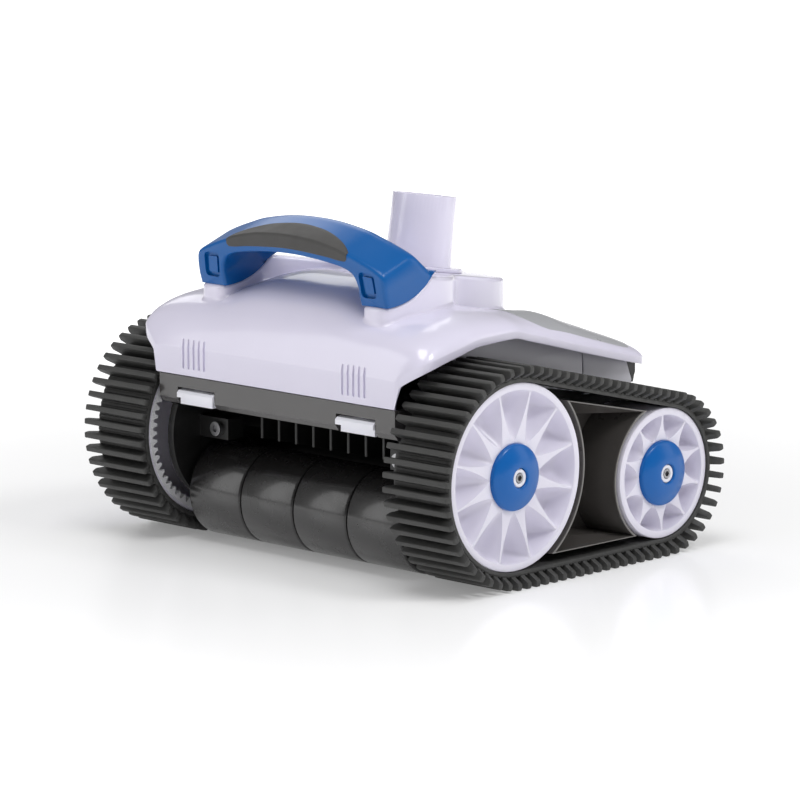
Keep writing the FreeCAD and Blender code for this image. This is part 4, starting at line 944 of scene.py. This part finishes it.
def recess(side, grow, depth_out, depth_in):
    """Block for the recess in a leg's front face, between two depths; a negative grow makes it smaller."""
    corners = [(71.6 - grow, 222.5 + grow), (73.0 - grow, 203.5 - grow), (88.0 + grow, 204.0 - grow),
               (87.0 + grow, 222.0 + grow)]
    points = rounded(corners, [4.0 + grow] * 4, 6)
    rings = [[(side * x, arch_at(x, z)[1] + depth, z) for x, z in points] for depth in (-depth_out, depth_in)]
    return loft(rings, flat=front_view)


handle = piece("visual_handle", handle_shape(), "cover", "blue_plastic", ("handle_shell",), 34)
cut_with(handle, [tool("recess_%d" % n, recess(s, 0.0, 4.0, 2.6)) for n, s in enumerate((-1, 1))], 34)
for side, hand in SIDES:
    pad = piece("leg_pad_" + hand, recess(side, -3.2, -1.1, 3.0), "cover", "blue_plastic")
    soften = pad.modifiers.new("soften", "BEVEL")
    soften.width = 0.7 * MM
    soften.segments = 3


def grip_shape():
    """Crescent of soft plastic over the front and the front part of the top of the arch."""
    line = sorted(both_sides(ARCH_TOP))
    low_line = [(-64, 228.4), (-56, 228.6), (-40, 230.4), (0, 232.6), (40, 230.4), (56, 228.6), (64, 228.4)]
    across, along = 26, 72
    proud, thick = 0.5, 3.0
    reach, lip = 61.5, 0.8         # half-length, and how far below the crease the front ends
    front, crown = 0.4, 0.5        # shares of the way across: the front face, and then up to the top
    start, deepest = 0.02, 0.54    # how far back along the top it starts and reaches
    outer, inner = [], []
    for i in range(along + 1):
        x = -reach + 2 * reach * i / along
        crease = smooth(line, x)
        end = min(1.0, (reach - abs(x)) / 3.0)
        squeeze = math.sqrt(max(0.0, 1 - (1 - end) ** 2))
        low = smooth(low_line, x)
        middle = (low + crease) / 2
        low = middle + (low - middle) * (0.35 + 0.65 * squeeze)
        back = deepest * max(0.0, 1 - (x / 63.0) ** 2) ** 0.72
        row_out, row_in = [], []
        for j in range(across + 1):
            s = j / across
            if s <= front:
                z = low + (crease - lip - low) * s / front
                p = Vector(arch_at(x, z))
                n = Vector((0, -1, -0.12))
            elif s < crown:
                q = (s - front) / (crown - front)
                z = crease - lip * (1 - q)
                p = Vector(arch_at(x, z)) + RISE * (start * q)
                n = Vector((0, -(1 - q), q)).normalized()
            else:
                q = (s - crown) / (1 - crown)
                p = Vector(arch_at(x, crease)) + RISE * (start + back * q)
                n = Vector((0, -0.34, 0.94))
            border = min(s, 1 - s) * 12
            rise = proud * min(1.0, math.sqrt(max(0.0, min(border, 1.0)))) * min(1.0, 0.25 + end)
            row_out.append(tuple(p + n * (rise + 0.05)))
            row_in.append(tuple(p - n * thick))
        outer.append(row_out)
        inner.append(row_in)
    rings = [a + b[::-1] for a, b in zip(outer, inner)]
    return loft(rings, flat=side_view)


piece("visual_grip", grip_shape(), "cover", "grip_soft", ("handle_grip",), 50)


# ---- side skins and comb -------------------------------------------------------------------------
SKIN_IN, SKIN_OUT = 120.2, 122.6       # |x| of the skin's two faces


def side_skin(line, side):
    """Flat skin with a softened outer edge."""
    stations = ((SKIN_IN, 0.0), (SKIN_OUT - 0.5, 0.0), (SKIN_OUT - 0.15, 0.15), (SKIN_OUT, 0.5))
    rings = [[(side * x, y, z) for y, z in inset_outline(line, inset)] for x, inset in stations]
    return loft(rings, flat=side_view)


def skin_top(y):
    """The skins reach up behind the cover's lip."""
    return smooth(LIP, y) + 4.0


for side, hand in SIDES:
    line = [(64.6, 118), (63.2, skin_top(63))] + [(y, skin_top(y)) for y in range(56, -80, -6)]
    line += [(-79, 146), (-55, 142), (-20, 136), (20, 127)]
    piece("visual_side_panel_" + hand, side_skin(line, side), "chassis", "panel_grey",
          ("side_panel_" + hand,))
    line = [(66, 116), (117.5, 114), (119.5, 121), (117, 127), (113, skin_top(110) - 3)]
    line += [(y, skin_top(y)) for y in range(106, 65, -6)] + [(64.2, skin_top(64))]
    piece("visual_rear_quarter_" + hand, side_skin(line, side), "chassis", "panel_grey",
          ("rear_quarter_" + hand,))


TEETH, TOOTH_FIRST, TOOTH_PITCH = 8, -62.5, 18.0


def comb_tooth(x):
    """Thin upright blade with softened edges."""
    line = [(-62.2, 99), (-86, 99), (-86, 80.5), (-62.2, 76)]
    rings = [[(x + across, y, z) for y, z in inset_outline(line, inset)]
             for across, inset in ((-1.2, 0.4), (-0.8, 0.0), (0.8, 0.0), (1.2, 0.4))]
    return loft(rings, flat=side_view)


def comb_shape():
    """The comb's back and shelf, an L in section, with its teeth."""
    back = [(-63.5, 90), (-61.2, 90), (-61.2, 99), (-84, 99), (-84, 96.5), (-63.5, 96.5)]
    rings = [[(x, y, z) for y, z in back] for x in (-80, 80)]
    teeth = [comb_tooth(TOOTH_FIRST + TOOTH_PITCH * k) for k in range(TEETH)]
    return merge([loft(rings, flat=side_view)] + teeth)


piece("visual_comb", comb_shape(), "chassis", "chassis_dark", ("debris_comb",), 25)


# ---- carried-over CAD nodes ------------------------------------------------------------------------
slot_of = {part["node"]: part["material_slot"] for part in frame["record"]["subparts"]}
SOFT_EDGE = {"front_bumper": 0.7, "latch_left": 0.6, "latch_right": 0.6, "rear_bumper": 0.5,
             "rear_hooks": 0.5, "chassis_tub": 0.6, "chassis_screws": 0.3, "hose_cone": 0.5,
             "swivel_collar": 0.4, "ring_gear_left": 0.25, "ring_gear_right": 0.25}
for name, obj in frame["nodes"].items():
    obj.data.materials.clear()
    obj.data.materials.append(SURFACES[slot_of.get(name, "chassis_dark")])
    if name in SOFT_EDGE:
        weld = obj.modifiers.new("weld", "WELD")
        weld.merge_threshold = 5e-6
        bevel = obj.modifiers.new("soft_edges", "BEVEL")
        bevel.width = SOFT_EDGE[name] * MM
        bevel.segments = 3
        bevel.limit_method = "ANGLE"
        bevel.angle_limit = math.radians(38)
        bevel.harden_normals = True
        bevel.use_clamp_overlap = True


# ---- floor, light and camera -----------------------------------------------------------------------
def stage_floor():
    mesh = bpy.data.meshes.new("floor")
    reach = 14.0
    corners = [(-reach, -reach, 0), (reach, -reach, 0), (reach, reach, 0), (-reach, reach, 0)]
    mesh.from_pydata(corners, [], [(0, 1, 2, 3)])
    floor = bpy.data.objects.new("floor", mesh)
    bpy.context.scene.collection.objects.link(floor)
    mat = bpy.data.materials.new("floor")
    mat.use_nodes = True
    nodes, links = mat.node_tree.nodes, mat.node_tree.links
    bsdf = nodes["Principled BSDF"]
    bsdf.inputs["Base Color"].default_value = (0.95, 0.95, 0.955, 1)
    bsdf.inputs["Roughness"].default_value = 0.2
    bsdf.inputs["Specular IOR Level"].default_value = 0.35
    place = nodes.new("ShaderNodeTexCoord")
    length = nodes.new("ShaderNodeVectorMath")
    length.operation = "LENGTH"
    links.new(place.outputs["Object"], length.inputs[0])
    glow = nodes.new("ShaderNodeMapRange")
    glow.interpolation_type = "SMOOTHSTEP"
    glow.inputs["From Min"].default_value = 0.12
    glow.inputs["From Max"].default_value = 1.6
    glow.inputs["To Min"].default_value = 0.2
    glow.inputs["To Max"].default_value = 1.0
    links.new(length.outputs["Value"], glow.inputs["Value"])
    links.new(glow.outputs["Result"], bsdf.inputs["Emission Strength"])
    bsdf.inputs["Emission Color"].default_value = (1, 1, 1, 1)
    floor.data.materials.append(mat)


def soft_light(name, place, target, size, power):
    data = bpy.data.lights.new(name, "AREA")
    data.shape = "RECTANGLE"
    data.size, data.size_y = size
    data.energy = power
    light = bpy.data.objects.new(name, data)
    light.location = place
    light.rotation_mode = "QUATERNION"
    light.rotation_quaternion = (Vector(target) - Vector(place)).to_track_quat("-Z", "Y")
    bpy.context.scene.collection.objects.link(light)


stage_floor()
soft_light("top_box", (0.4, -0.5, 1.9), (0, 0, 0.1), (1.0, 1.0), 17)
soft_light("left_box", (-1.4, -1.8, 0.9), (0, 0, 0.1), (0.8, 1.6), 8)
soft_light("right_box", (1.5, 0.3, 1.7), (0, 0, 0.1), (0.6, 0.6), 14)
soft_light("sheen_box", (-1.6, 1.05, 1.5), (0, 0, 0.15), (1.3, 1.3), 9)
soft_light("rim_box", (1.5, 1.9, 0.9), (0, 0, 0.15), (0.8, 1.6), 5)
world = bpy.data.worlds.new("studio")
world.use_nodes = True
world.node_tree.nodes["Background"].inputs["Color"].default_value = (1.0, 1.0, 1.0, 1)
world.node_tree.nodes["Background"].inputs["Strength"].default_value = 0.25
bpy.context.scene.world = world
bpy.context.scene.view_settings.view_transform = "Standard"

turn, lift, roll = math.radians(43.91), math.radians(9.98), math.radians(-0.15)
back = Vector((math.sin(turn) * math.cos(lift), -math.cos(turn) * math.cos(lift), math.sin(lift)))
right = Vector((math.cos(turn), math.sin(turn), 0))
up = back.cross(right)
right_rolled = right * math.cos(roll) + up * math.sin(roll)
up_rolled = up * math.cos(roll) - right * math.sin(roll)
lens = bpy.data.cameras.new("camera")
lens.lens = 196.7
lens.sensor_width = 36.0
lens.clip_start, lens.clip_end = 0.05, 60
camera = bpy.data.objects.new("camera", lens)
axes = Matrix((right_rolled, up_rolled, back)).transposed().to_4x4()
camera.matrix_world = Matrix.Translation((2.2287, -2.3177, 0.6716)) @ axes
bpy.context.scene.collection.objects.link(camera)
bpy.context.scene.camera = camera
